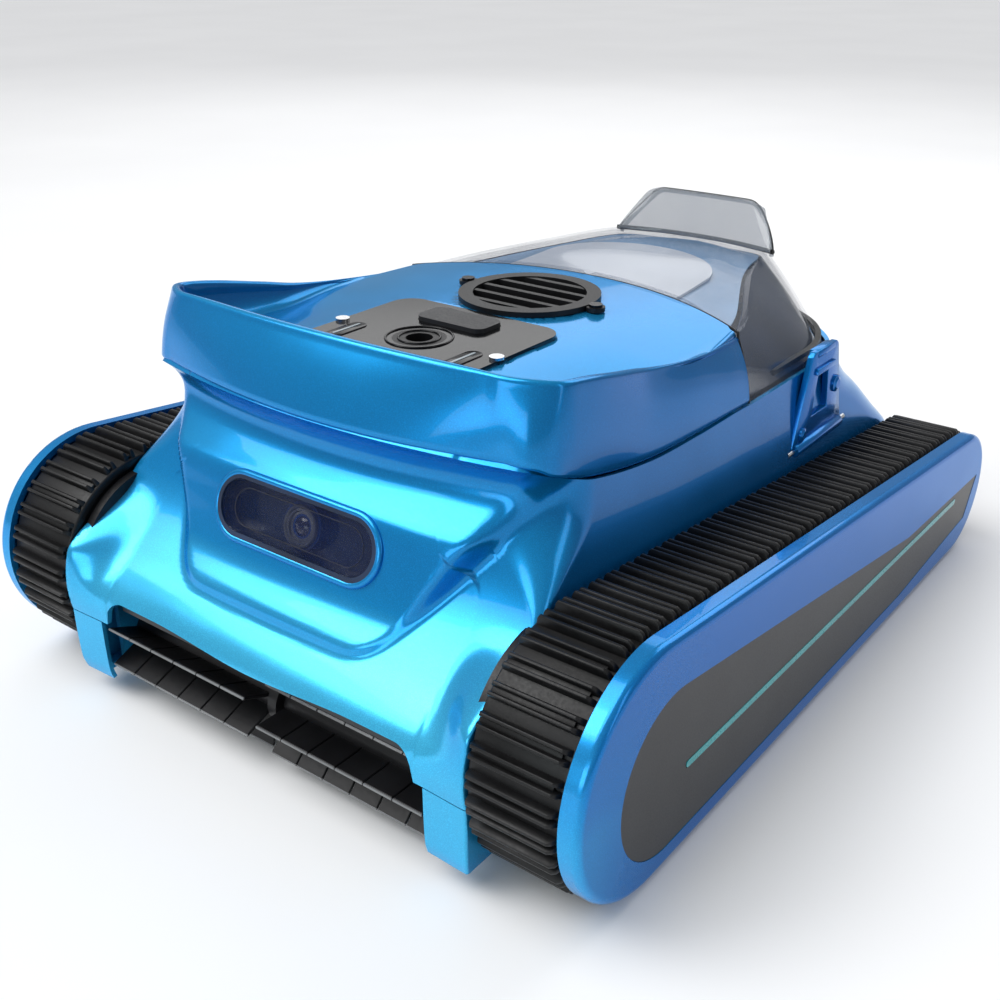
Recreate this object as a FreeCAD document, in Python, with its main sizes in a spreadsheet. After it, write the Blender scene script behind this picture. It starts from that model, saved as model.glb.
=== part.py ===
"""Tracked pool cleaner: two belt tracks, a pump hull with a front brush and a clear rear cover.

Frame, in millimetres: origin on the floor under the centre, +Z up, the brush faces -Y, +X is on
the right of someone facing the brush. The Sizes sheet holds the driving dimensions and the Places
sheet holds what follows from them.
"""
import FreeCAD, Part
import math
import os
import re
import Sketcher

SIZES = {
    # overall and tracks
    "overall_length": 423.0, "overall_width": 334.0,
    "front_track_radius": 53.0, "rear_track_radius": 36.0,
    "ridge_height": 4.0, "ridge_width": 2.2, "ridge_gap": 3.8, "ridge_pairs": 84.0,
    "belt_thickness": 4.0, "belt_width": 40.5, "guide_rib_height": 2.5, "guide_rib_width": 6.0,
    "rib_root": 1.0,
    "track_clearance": 0.3, "shaft_clearance": 0.05, "seat_clearance": 0.2,
    # track frames, wheels and covers
    "side_cover_depth": 8.4, "side_cover_gap": 0.6, "side_cover_round": 3.5, "cover_inset": 1.0,
    "side_frame_thickness": 4.5, "side_frame_gap": 0.7, "side_frame_inset": 9.0,
    "post_radius": 6.0, "post_front_y": -78.0, "post_front_z": 62.0, "post_middle_y": 60.0,
    "post_middle_z": 55.0, "post_rear_y": 112.0, "post_rear_z": 48.0,
    "wheel_side_gap": 2.0, "hub_radius": 10.0, "wheel_web": 10.0, "wheel_rim": 7.0,
    "axle_radius": 5.0, "pin_radius": 4.0, "pin_head_radius": 7.0, "pin_head_height": 2.0,
    "road_wheel_radius": 14.0, "road_wheel_y": 8.0, "axle_hole_gap": 3.0,
    "cover_hollow": 3.0, "cover_rim": 3.0, "panel_recess": 2.2, "panel_gap": 0.2,
    "panel_radius": 35.5, "panel_set_in": 0.2, "panel_end_gap": 28.5, "panel_z": 46.0,
    "panel_slope_y": 92.0, "panel_slope_z": 44.0, "panel_tail_z": 40.5, "panel_tail_gap": 12.0,
    "panel_tail_round": 12.0,
    "strip_front_y": -136.5, "strip_front_z": 41.6, "strip_rear_y": 164.5, "strip_rear_z": 37.0,
    "strip_width": 3.2, "strip_depth": 1.2, "strip_proud": 0.2,
    "screw_radius": 2.0, "screw_head_radius": 3.8, "screw_head_height": 1.8, "screw_length": 14.0,
    # hull
    "pan_wall": 3.0, "pan_bottom": 10.0, "hull_seam": 41.5, "seam_gap": 0.2, "shell_wall": 3.0,
    "pan_front_gap": 7.5, "pan_rear_gap": 13.5,
    "mouth_top": 52.0, "deck_seam": 131.0, "deck_top": 165.0, "deck_wall": 2.5,
    "lip_top": 182.0, "lip_bottom": 152.0, "lip_thickness": 7.0, "lip_foot": 11.0,
    "lip_end_y": -25.0, "lip_end_z": 161.0, "lip_straight_y": -140.0,
    "boss_radius": 5.0, "boss_side": 8.2, "boss_web": 4.0, "boss_front_gap": 116.5,
    "boss_rear_gap": 46.5, "boss_top": 60.0, "mouth_side_gap": 24.0, "mouth_depth": 25.0,
    # brush
    "brush_radius": 25.0, "brush_floor_gap": 2.5, "brush_set_back": 4.7,
    "brush_core_radius": 7.0, "sleeve_thickness": 1.6, "blade_thickness": 1.6, "blade_count": 8.0,
    "brush_centre_gap": 4.0, "brush_shaft_radius": 4.0, "brush_bay_gap": 2.0, "hood_wall": 2.5,
    "hood_front_gap": 13.0, "bay_end_wall": 3.0, "brush_end_gap": 4.0,
    "centre_ring_wall": 4.7, "centre_ring_width": 5.0, "centre_arm": 4.0,
    "wiper_thickness": 2.0, "wiper_drop": 4.5, "wiper_rise": 4.0,
    # pump
    "pump_y": -10.5, "duct_radius": 34.0, "duct_wall": 2.0, "duct_top": 156.0,
    "volute_top": 62.0, "volute_half_width": 38.0, "water_port_half_width": 28.0,
    "water_port_bottom": 20.0, "water_port_top": 50.0, "motor_radius": 15.0,
    "motor_bottom": 76.0, "motor_top": 124.0, "motor_collar": 3.0, "collar_bottom": 94.0,
    "collar_top": 106.0, "motor_shaft_radius": 2.5, "motor_shaft_top": 140.0,
    "impeller_radius": 31.0, "impeller_bottom": 128.0, "impeller_height": 12.0,
    "impeller_hub": 9.0, "impeller_blades": 5.0, "impeller_pitch": 35.0, "vane_thickness": 2.0,
    "grille_radius": 34.5, "grille_proud": 2.5, "grille_ring": 7.0, "grille_neck": 7.0,
    "grille_bar": 3.0, "grille_bar_pitch": 11.0, "grille_tab_x": 38.0, "grille_tab": 4.5,
    "small_screw_radius": 1.6, "small_head_radius": 3.2, "small_head_height": 1.2,
    "small_screw_length": 6.0,
    # control panel
    "deck_panel_half_width": 46.0, "deck_panel_front_y": -124.0, "deck_panel_rear_y": -46.5,
    "deck_panel_thickness": 4.0, "deck_panel_proud": 0.6, "ledge_width": 4.0,
    "ledge_overlap": 3.0, "ledge_height": 2.0, "deck_panel_corner": 11.0,
    "panel_screw_reach": 30.0,
    "button_half_width": 19.0, "button_y": -64.5, "button_half_depth": 9.0,
    "button_height": 7.0, "button_proud": 2.0, "button_corner": 5.0, "button_flange": 1.6,
    "button_flange_height": 0.9, "socket_y": -92.0, "socket_radius": 12.0, "socket_bore": 6.0,
    "socket_bore_depth": 10.0, "socket_height": 15.0, "contact_radius": 1.2,
    "contact_pitch": 3.2, "board_thickness": 1.6, "board_drop": 10.0, "board_inset": 4.0,
    "switch_half_width": 3.0, "switch_height": 3.6, "board_post_radius": 3.0,
    "board_post_inset": 6.0,
    # filter
    "well_front_y": 38.0, "well_rear_gap": 78.5, "well_side_gap": 29.3, "well_wall": 2.0,
    "flange_side_gap": 26.3, "flange_rear_gap": 76.0, "flange_corner": 8.0,
    "basket_gap": 0.8, "basket_wall": 2.0, "basket_top": 118.0,
    "basket_window_low": 40.0, "basket_window_high": 100.0, "basket_window_margin": 14.0,
    "screen_wall": 0.8, "screen_bottom": 32.0, "screen_top": 112.0,
    "inlet_half_width": 46.0, "inlet_front_y": 73.0, "inlet_rear_y": 90.0,
    "collar_wall": 2.0, "collar_height": 2.0, "flap_thickness": 2.0, "flap_overhang": 3.0,
    "flap_pin_radius": 1.5, "flap_barrel": 2.5, "flap_ear": 4.0,
    # rear cover, grip, latches
    "lid_arc_radius": 212.0, "lid_edge_y": 40.5, "lid_half_gap": 0.9, "lid_pin_y": 12.0,
    "lid_pin_z": 159.0, "lid_pin_side": 9.2, "lid_pin_radius": 1.2, "knuckle_radius": 3.0,
    "knuckle_length": 3.0, "knuckle_drop": 8.0, "knuckle_reach": 6.0, "lid_reach": 12.0,
    "lid_ear_gap": 4.0,
    "lid_pin_head": 2.2, "lid_pin_head_length": 0.8, "seal_gap": 3.4,
    "seal_width": 3.0, "seal_height": 2.5, "seal_front_y": 46.0,
    "grip_rear_gap": 61.5, "grip_sink": 6.0, "grip_lean": 25.0, "grip_base": 52.0,
    "grip_tip": 33.0, "grip_length": 30.0, "grip_thickness": 3.5, "grip_round": 6.0,
    "latch_front_y": 50.0, "latch_rear_y": 118.0, "latch_pin_z": 90.0, "latch_pin_out": 1.5,
    "latch_pin_radius": 1.5, "latch_barrel": 3.2, "latch_lug": 6.0, "latch_lug_height": 8.0,
    "latch_top": 138.0, "latch_plate": 2.6, "latch_shoulder": 4.0, "latch_taper": 10.0,
    "latch_hook": 4.0, "latch_hook_height": 4.0, "latch_hook_half": 10.0,
    # camera
    "camera_z": 106.0, "camera_set_back": 39.0, "camera_lean": 20.0, "camera_half_width": 47.0,
    "camera_half_height": 15.0, "bezel_wall": 3.5, "bezel_depth": 12.0, "bezel_proud": 1.0,
    "window_thickness": 2.0, "window_inset": 0.6, "lens_radius": 8.5, "lens_thickness": 2.5,
    "barrel_radius": 10.5, "barrel_length": 14.0, "module_half_width": 16.0,
    "module_depth": 8.0, "bezel_back": 2.0,
    # drive motors and batteries
    "gear_case_depth": 4.0, "gear_case_gap": 8.5, "gear_case_front": 7.0,
    "gear_case_bottom": 19.5, "gear_case_top": 72.0, "gear_case_rear": 46.5,
    "gear_case_ahead": 13.5, "gear_case_slack": 0.5,
    "drive_motor_radius": 15.0, "drive_motor_back": 30.5, "drive_motor_z": 57.0,
    "drive_motor_length": 42.0, "battery_front_y": -85.0, "battery_rear_y": 35.0,
    "battery_inner_x": 42.0, "battery_side_gap": 14.0, "battery_top": 70.0,
    "battery_corner": 5.0,
}

# Levels of the hull from the seam of the pan to the top of the deck: how far each lies inside the
# hull's half width and inside the front and rear ends, and its front and rear corner radii.
LEVELS = {
    "sill": (0.0, 5.5, 8.5, 12.0, 12.0),
    "waist": (0.0, 7.5, 10.0, 14.0, 18.0),
    "shoulder": (2.0, 33.5, 33.0, 24.0, 42.0),
    "seam": (4.0, 51.5, 51.5, 34.0, 76.0),
    "rim": (7.0, 53.5, 53.0, 34.0, 78.0),
    "crown": (12.0, 61.5, 55.0, 34.0, 80.0),
    "roof": (34.0, 79.5, 71.5, 34.0, 76.0),
    "lip_low": (3.0, 44.5, 211.5, 34.0, 34.0),
    "lip_high": (6.0, 57.5, 211.5, 38.0, 38.0),
}
LEVEL_KEYS = ("side", "front", "rear", "corner", "rear_corner")
for level, numbers in LEVELS.items():
    SIZES.update({f"{level}_{key}": number for key, number in zip(LEVEL_KEYS, numbers)})
SIZES.update({"waist_height": 57.0, "shoulder_height": 90.0, "rim_drop": 15.0, "crown_drop": 5.0})

PLACES = {
    "half_width": "overall_width / 2",
    "front_y": "-overall_length / 2",
    "rear_y": "overall_length / 2",
    "front_axle_y": "front_track_radius - overall_length / 2",
    "rear_axle_y": "overall_length / 2 - rear_track_radius",
    "cover_inner_x": "overall_width / 2 - side_cover_depth",
    "belt_outer_x": "cover_inner_x - side_cover_gap",
    "belt_inner_x": "belt_outer_x - belt_width",
    "frame_outer_x": "belt_inner_x - side_frame_gap",
    "hull_half": "frame_outer_x - side_frame_thickness",
    "cover_floor_x": "cover_inner_x + cover_hollow",
    "recess_x": "half_width - panel_recess",
    "panel_face_x": "half_width - panel_set_in",
    "belt_depth": "ridge_height + belt_thickness",
    "rib_depth": "belt_depth + guide_rib_height",
    "wheel_inner_x": "belt_inner_x + wheel_side_gap",
    "wheel_outer_x": "belt_outer_x - wheel_side_gap",
    "wheel_middle_x": "(belt_inner_x + belt_outer_x) / 2",
    "groove_half": "guide_rib_width / 2 + track_clearance * 2",
    "drive_wheel_radius": "front_track_radius - belt_depth - track_clearance",
    "idler_wheel_radius": "rear_track_radius - belt_depth - track_clearance",
    "road_wheel_z": "belt_depth + track_clearance + road_wheel_radius",
    "brush_y": "front_y + brush_radius + brush_set_back",
    "brush_z": "brush_radius + brush_floor_gap",
    "bay_radius": "brush_radius + brush_bay_gap",
    "bay_outer_x": "hull_half - gear_case_gap - gear_case_slack",
    "bay_end_x": "bay_outer_x - bay_end_wall",
    "brush_half": "bay_end_x - brush_end_gap",
    "mouth_half": "hull_half - mouth_side_gap",
    "wiper_y": "front_y + waist_front + shell_wall + track_clearance",
    "gear_case_x": "hull_half - gear_case_gap",
    "drive_motor_y": "front_axle_y + drive_motor_back",
    "boss_front_y": "front_y + boss_front_gap",
    "boss_rear_y": "rear_y - boss_rear_gap",
    "boss_x": "hull_half - boss_side",
    "well_rear_y": "rear_y - well_rear_gap",
    "well_half": "hull_half - well_side_gap",
    "well_bottom": "pan_bottom + pan_wall",
    "well_top": "deck_seam - 1",
    "basket_half": "well_half - well_wall - basket_gap",
    "basket_front_y": "well_front_y + well_wall + basket_gap",
    "basket_rear_y": "well_rear_y - well_wall - basket_gap",
    "basket_bottom": "well_bottom + well_wall",
    "basket_floor": "basket_bottom + basket_wall",
    "collar_z": "basket_floor + collar_height",
    "flap_bottom": "collar_z + track_clearance",
    "flap_y": "inlet_front_y - collar_wall - flap_barrel - 0.5",
    "flap_z": "flap_bottom + flap_thickness / 2",
    "flap_half": "inlet_half_width + flap_overhang",
    "lid_arc_y": "lid_edge_y - lid_arc_radius",
    "lid_pin_x": "hull_half - lid_pin_side",
    "seal_bottom": "deck_seam + track_clearance",
    "grip_y": "rear_y - grip_rear_gap",
    "latch_pin_x": "hull_half + latch_pin_out",
    "panel_top": "deck_top + deck_panel_proud",
    "panel_bottom": "panel_top - deck_panel_thickness",
    "button_top": "panel_top + button_proud",
    "button_bottom": "button_top - button_height",
    "board_top": "deck_top - board_drop",
    "socket_bottom": "panel_top - socket_height",
    "socket_floor": "panel_top - socket_bore_depth",
    "camera_y": "front_y + camera_set_back",
    "battery_outer_x": "hull_half - battery_side_gap",
    "panel_y": "front_y + panel_end_gap + panel_radius",
}

doc = FreeCAD.newDocument("PoolCleaner")
NODES = []


def fill_sheet(name, cells):
    """Writes one alias per row and returns the sheet."""
    sheet = doc.addObject("Spreadsheet::Sheet", name)
    for row, (alias, content) in enumerate(cells.items(), start=1):
        sheet.set(f"A{row}", alias)
        sheet.set(f"B{row}", content)
        sheet.setAlias(f"B{row}", alias)
    return sheet


def formula(text):
    """Turns the plain names in a formula into references to the two sheets."""
    def refer(match):
        word = match.group(0)
        if word in SIZES:
            return "Sizes." + word
        return "Places." + word if word in PLACES else word
    return re.sub(r"[a-z_]+", refer, str(text))


sizes = fill_sheet("Sizes", {alias: str(number) for alias, number in SIZES.items()})
places = fill_sheet("Places", {alias: "=" + formula(text).replace("Places.", "")
                               for alias, text in PLACES.items()})
doc.recompute()


def size(alias):
    """The present value of a cell of either sheet."""
    sheet = sizes if alias in SIZES else places
    return float(sheet.get(alias))


def keep(thing, node):
    """Makes a finished object the sub-part called node."""
    thing.Label = node
    NODES.append(thing)
    return thing


# ---- solids bound to the sheets ---------------------------------------------------------------

def block(name, x, y, z):
    """A box between two formulas along each axis."""
    solid = doc.addObject("Part::Box", name)
    for prop, (low, high), axis in (("Length", x, "x"), ("Width", y, "y"), ("Height", z, "z")):
        solid.setExpression(prop, formula(f"({high}) - ({low})"))
        solid.setExpression(f"Placement.Base.{axis}", formula(low))
    return solid


TURNS = {
    "x": FreeCAD.Rotation(FreeCAD.Vector(0, 1, 0), 90),
    "y": FreeCAD.Rotation(FreeCAD.Vector(1, 0, 0), -90),
    "z": FreeCAD.Rotation(),
}


def rod(name, axis, radius, start, end, centre):
    """A cylinder along one axis; centre gives the other two coordinates in X, Y, Z order."""
    solid = doc.addObject("Part::Cylinder", name)
    solid.Placement = FreeCAD.Placement(FreeCAD.Vector(), TURNS[axis])
    solid.setExpression("Radius", formula(radius))
    solid.setExpression("Height", formula(f"({end}) - ({start})"))
    solid.setExpression(f"Placement.Base.{axis}", formula(start))
    for other, place in zip([a for a in "xyz" if a != axis], centre):
        solid.setExpression(f"Placement.Base.{other}", formula(place))
    return solid


def fuse(name, *shapes):
    union = doc.addObject("Part::MultiFuse", name)
    union.Shapes = list(shapes)
    union.Refine = True
    return union


def common(name, *shapes):
    shared = doc.addObject("Part::MultiCommon", name)
    shared.Shapes = list(shapes)
    return shared


def cut(name, base, *tools):
    """Takes every tool from the base."""
    remainder = doc.addObject("Part::Cut", name)
    remainder.Base = base
    remainder.Tool = tools[0] if len(tools) == 1 else fuse(name + "_tools", *tools)
    return remainder


def group(name, *shapes):
    """Separate solids that share one node."""
    bundle = doc.addObject("Part::Compound", name)
    bundle.Links = list(shapes)
    return bundle


def mirrored(name, source):
    """The same piece on the other side of the hull."""
    twin = doc.addObject("Part::Mirroring", name)
    twin.Source = source
    twin.Normal = FreeCAD.Vector(1, 0, 0)
    return twin


def pair(stem, source):
    """Keeps a right-hand piece and its left-hand twin."""
    keep(source, stem + "_right")
    keep(mirrored(stem + "_twin", source), stem + "_left")


ROLES = {"xy": "XY_Plane", "xz": "XZ_Plane", "yz": "YZ_Plane"}


def sketch_on(body, plane, corners):
    """A closed outline whose every corner is held by two formulas."""
    sketch = body.newObject("Sketcher::SketchObject", body.Name + "_outline")
    origin_plane = [item for item in body.Origin.OriginFeatures if item.Role == ROLES[plane]][0]
    sketch.AttachmentSupport = [(origin_plane, "")]
    sketch.MapMode = "FlatFace"
    count = len(corners)
    start = [FreeCAD.Vector(math.cos(math.tau * i / count), math.sin(math.tau * i / count), 0)
             for i in range(count)]
    for here in range(count):
        sketch.addGeometry(Part.LineSegment(start[here], start[(here + 1) % count]))
    for here in range(count):
        sketch.addConstraint(Sketcher.Constraint("Coincident", here, 2, (here + 1) % count, 1))
    for here, corner in enumerate(corners):
        for kind, text, value in zip(("DistanceX", "DistanceY"), corner, start[here]):
            index = sketch.addConstraint(Sketcher.Constraint(kind, -1, 1, here, 1, value))
            sketch.setExpression(f"Constraints[{index}]", formula(text))
    return sketch


def plate(name, plane, corners, start, end, radius=None):
    """A padded outline from start to end along the plane's normal, its upright edges rounded."""
    body = doc.addObject("PartDesign::Body", name)
    sketch = sketch_on(body, plane, corners)
    pad = body.newObject("PartDesign::Pad", name + "_pad")
    pad.Profile = sketch
    pad.setExpression("Length", formula(f"({end}) - ({start})"))
    axis = {"xy": "z", "xz": "y", "yz": "x"}[plane]
    body.setExpression(f"Placement.Base.{axis}", formula(end if plane == "xz" else start))
    doc.recompute()
    if radius:
        fillet = body.newObject("PartDesign::Fillet", name + "_fillet")
        normal = FreeCAD.Vector(*[1.0 if letter == axis else 0.0 for letter in "xyz"])
        upright = [f"Edge{i}" for i, edge in enumerate(pad.Shape.Edges, start=1)
                   if abs(abs(edge.tangentAt(edge.FirstParameter).dot(normal)) - 1) < 1e-6]
        fillet.Base = (pad, upright)
        fillet.setExpression("Radius", formula(radius))
        doc.recompute()
    return body


def turned(name, axis, profile, centre):
    """A full revolution about a line along X or Z; profile pairs are (along, radius) formulas."""
    body = doc.addObject("PartDesign::Body", name)
    if axis == "x":
        sketch = sketch_on(body, "xy", profile)
        line = "H_Axis"
    else:
        sketch = sketch_on(body, "xz", [(radius, along) for along, radius in profile])
        line = "V_Axis"
    spin = body.newObject("PartDesign::Revolution", name + "_spin")
    spin.Profile = sketch
    spin.ReferenceAxis = (sketch, [line])
    spin.Angle = 360
    for other, place in zip([a for a in "xyz" if a != axis], centre):
        body.setExpression(f"Placement.Base.{other}", formula(place))
    return body


# ---- shapes worked out from the sheets' present values -------------------------------------------

def feature(name, shape):
    item = doc.addObject("Part::Feature", name)
    item.Shape = shape
    return item


def track_outline(inset, x):
    """The belt's path round both wheels, drawn inset from the ridge tips, as one closed wire."""
    circles = [(size("front_axle_y"), size("front_track_radius")),
               (size("rear_axle_y"), size("rear_track_radius"))]
    (y_front, r_front), (y_rear, r_rear) = circles
    span = math.hypot(y_rear - y_front, r_rear - r_front)
    slope = math.atan2(r_rear - r_front, y_rear - y_front)
    lean = math.acos((r_front - r_rear) / span)

    def point(circle, angle):
        y, radius = circles[circle]
        reach = radius - inset
        return FreeCAD.Vector(x, y + reach * math.cos(angle), radius + reach * math.sin(angle))

    high, low = slope + lean, slope - lean
    front = Part.Arc(point(0, high), point(0, math.pi + slope), point(0, low + math.tau))
    rear = Part.Arc(point(1, low), point(1, slope), point(1, high))
    edges = [front.toShape(), Part.makeLine(point(0, low), point(1, low)),
             rear.toShape(), Part.makeLine(point(1, high), point(0, high))]
    return Part.Wire(edges)


def track_solid(name, inset, start, end):
    """A flat solid with the belt's outline, between two places along X."""
    face = Part.Face(track_outline(inset, start))
    return feature(name, face.extrude(FreeCAD.Vector(end - start, 0, 0)))


def panel_solid(name, grow, start, end):
    """The tear-drop of the dark side panel, grown all round and extruded along X."""
    y, z, radius = size("panel_y"), size("panel_z"), size("panel_radius") + grow
    slope_y, slope_z = size("panel_slope_y"), size("panel_slope_z") + grow
    tail_y, tail_z = size("rear_y") - size("panel_tail_gap") + grow, size("panel_tail_z") + grow
    reach = math.hypot(slope_y - y, slope_z - z)
    touch = math.atan2(slope_z - z, slope_y - y) + math.acos(radius / reach)
    top = FreeCAD.Vector(start, y + radius * math.cos(touch), z + radius * math.sin(touch))
    shoulder = FreeCAD.Vector(start, slope_y, slope_z)
    tail = FreeCAD.Vector(start, tail_y, tail_z)
    turn = size("panel_tail_round") + grow
    low = z - radius
    tail_low = FreeCAD.Vector(start, tail_y - turn, low + turn * 0.6)
    bottom_rear = FreeCAD.Vector(start, slope_y, low)
    bottom = FreeCAD.Vector(start, y, low)
    nose = Part.Arc(top, FreeCAD.Vector(start, y - radius, z), bottom).toShape()
    corners = [bottom, bottom_rear, tail_low, tail, shoulder, top]
    edges = [nose] + [Part.makeLine(a, b) for a, b in zip(corners, corners[1:])]
    return feature(name, Part.Face(Part.Wire(edges)).extrude(FreeCAD.Vector(end - start, 0, 0)))


def level_outline(level, height, wall=0.0):
    """A level rounded rectangle of the hull, wall inside its skin."""
    half = size("hull_half") - size(f"{level}_side") - wall
    front = size("front_y") + size(f"{level}_front") + wall
    rear = size("rear_y") - size(f"{level}_rear") - wall
    v = FreeCAD.Vector
    edges = []
    for sx, sy in ((1, 1), (-1, 1), (-1, -1), (1, -1)):
        y_end = rear if sy > 0 else front
        corner = size(f"{level}_rear_corner" if sy > 0 else f"{level}_corner") - wall
        bow = corner * (1 - math.sqrt(0.5))
        side = v(sx * half, y_end - sy * corner, height)
        middle = v(sx * (half - bow), y_end - sy * bow, height)
        end = v(sx * (half - corner), y_end, height)
        first, last = (side, end) if sx * sy > 0 else (end, side)
        edges.append(Part.Arc(first, middle, last).toShape())
    corners = []
    for here, following in zip(edges, edges[1:] + edges[:1]):
        corners += [here, Part.makeLine(here.Vertexes[-1].Point, following.Vertexes[0].Point)]
    return Part.Wire(corners)


def level_bar(name, wall):
    """The cover's outline just over the hull's seam, wall inside its skin, as tall as the seal."""
    face = Part.Face(level_outline("seam", size("seal_bottom"), wall))
    return feature(name, face.extrude(FreeCAD.Vector(0, 0, size("seal_height"))))


def loft(name, levels):
    """A solid through level outlines: (level, height, wall) each."""
    sections = [feature(f"{name}_level_{i}", level_outline(*level)) for i, level in enumerate(levels)]
    solid = doc.addObject("Part::Loft", name)
    solid.Sections = sections
    solid.Solid = True
    solid.Ruled = True
    return solid


def oblong(name, half_width, half_height, start, end):
    """A flat-sided bar along Y with round ends, centred on the camera."""
    body = plate(name, "xz", [(f"-({half_width})", f"camera_z - ({half_height})"),
                              (f"{half_width}", f"camera_z - ({half_height})"),
                              (f"{half_width}", f"camera_z + ({half_height})"),
                              (f"-({half_width})", f"camera_z + ({half_height})")],
                 start, end, f"({half_height}) - 0.01")
    return body


def lean_back(thing):
    """Tips a finished camera piece back about the middle of the window."""
    pivot = FreeCAD.Vector(0, size("camera_y"), size("camera_z"))
    tip = FreeCAD.Rotation(FreeCAD.Vector(1, 0, 0), -size("camera_lean"))
    thing.Placement = FreeCAD.Placement(FreeCAD.Vector(), tip, pivot)
    return thing


def screw(name, axis, tip, head, centre, radius="screw_radius", head_radius="screw_head_radius",
          head_height="screw_head_height"):
    """A shank from tip to head along one axis, with its head inside the head end."""
    low, high = (tip, head) if axis != "-z" else (head, tip)
    if axis == "-z":
        shank = rod(name + "_shank", "z", radius, low, high, centre)
        cap = rod(name + "_cap", "z", head_radius, low, f"({low}) + {head_height}", centre)
    else:
        shank = rod(name + "_shank", axis, radius, low, high, centre)
        cap = rod(name + "_cap", axis, head_radius, f"({high}) - {head_height}", high, centre)
    return fuse(name, shank, cap)


# ---- tracks -------------------------------------------------------------------------------------

def ridged_belt():
    """A rubber loop with pairs of cross ridges outside and one guide rib inside."""
    outline = track_outline(size("ridge_height"), size("belt_inner_x"))
    pitch = outline.Length / round(size("ridge_pairs"))
    half_foot, rise = size("ridge_width") / 2, size("ridge_height")
    corners = []
    for pair_number in range(round(size("ridge_pairs"))):
        for side in (-1, 1):
            middle = pitch * pair_number + side * size("ridge_gap") / 2
            for along, lift in ((-half_foot, 0), (-half_foot * 0.6, rise), (half_foot * 0.6, rise),
                                (half_foot, 0)):
                corners.append(outward(outline, (middle + along) % outline.Length, lift))
    edge = Part.makePolygon(corners + corners[:1])
    inner = track_outline(size("belt_depth"), size("belt_inner_x"))
    band = Part.Face(edge).cut(Part.Face(inner)).extrude(FreeCAD.Vector(size("belt_width"), 0, 0))
    rib_start = size("wheel_middle_x") - size("guide_rib_width") / 2
    rib = Part.Face(track_outline(size("belt_depth") - size("rib_root"), rib_start))
    rib = rib.cut(Part.Face(track_outline(size("rib_depth"), rib_start)))
    rib = rib.extrude(FreeCAD.Vector(size("guide_rib_width"), 0, 0))
    return feature("belt", band.fuse(rib).removeSplitter())


def outward(outline, along, lift):
    """The point at a length along a track outline, lifted off it."""
    edges = outline.OrderedEdges
    for edge in edges:
        if along <= edge.Length:
            break
        along -= edge.Length
    forward = edge.Orientation == "Forward"
    parameter = edge.getParameterByLength(along if forward else edge.Length - along)
    point, tangent = edge.valueAt(parameter), edge.tangentAt(parameter)
    normal = tangent.cross(FreeCAD.Vector(1, 0, 0))
    inside = FreeCAD.Vector(point.x, 0, size("rear_track_radius"))
    if normal.dot(point - inside) < 0:
        normal = -normal
    return point + normal * lift


def groove_wheel(name, radius, bore, centre, dished):
    """A wheel with a groove for the guide rib and, if dished, a hollow in each side."""
    rib = "guide_rib_height"
    start, end, middle = "wheel_inner_x", "wheel_outer_x", "wheel_middle_x"
    dish = "(wheel_outer_x - wheel_inner_x - wheel_web) / 2"
    rim = f"{radius} - wheel_rim"
    left = [(start, bore), (start, "hub_radius"), (f"{start} + {dish}", "hub_radius"),
            (f"{start} + {dish}", rim), (start, rim), (start, radius)]
    right = [(end, radius), (end, rim), (f"{end} - {dish}", rim),
             (f"{end} - {dish}", "hub_radius"), (end, "hub_radius"), (end, bore)]
    if not dished:
        left, right = [(start, bore), (start, radius)], [(end, radius), (end, bore)]
    groove = [(f"{middle} - groove_half", radius), (f"{middle} - groove_half", f"{radius} - {rib}"),
              (f"{middle} + groove_half", f"{radius} - {rib}"), (f"{middle} + groove_half", radius)]
    return turned(name, "x", left + groove + right, centre)


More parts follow.
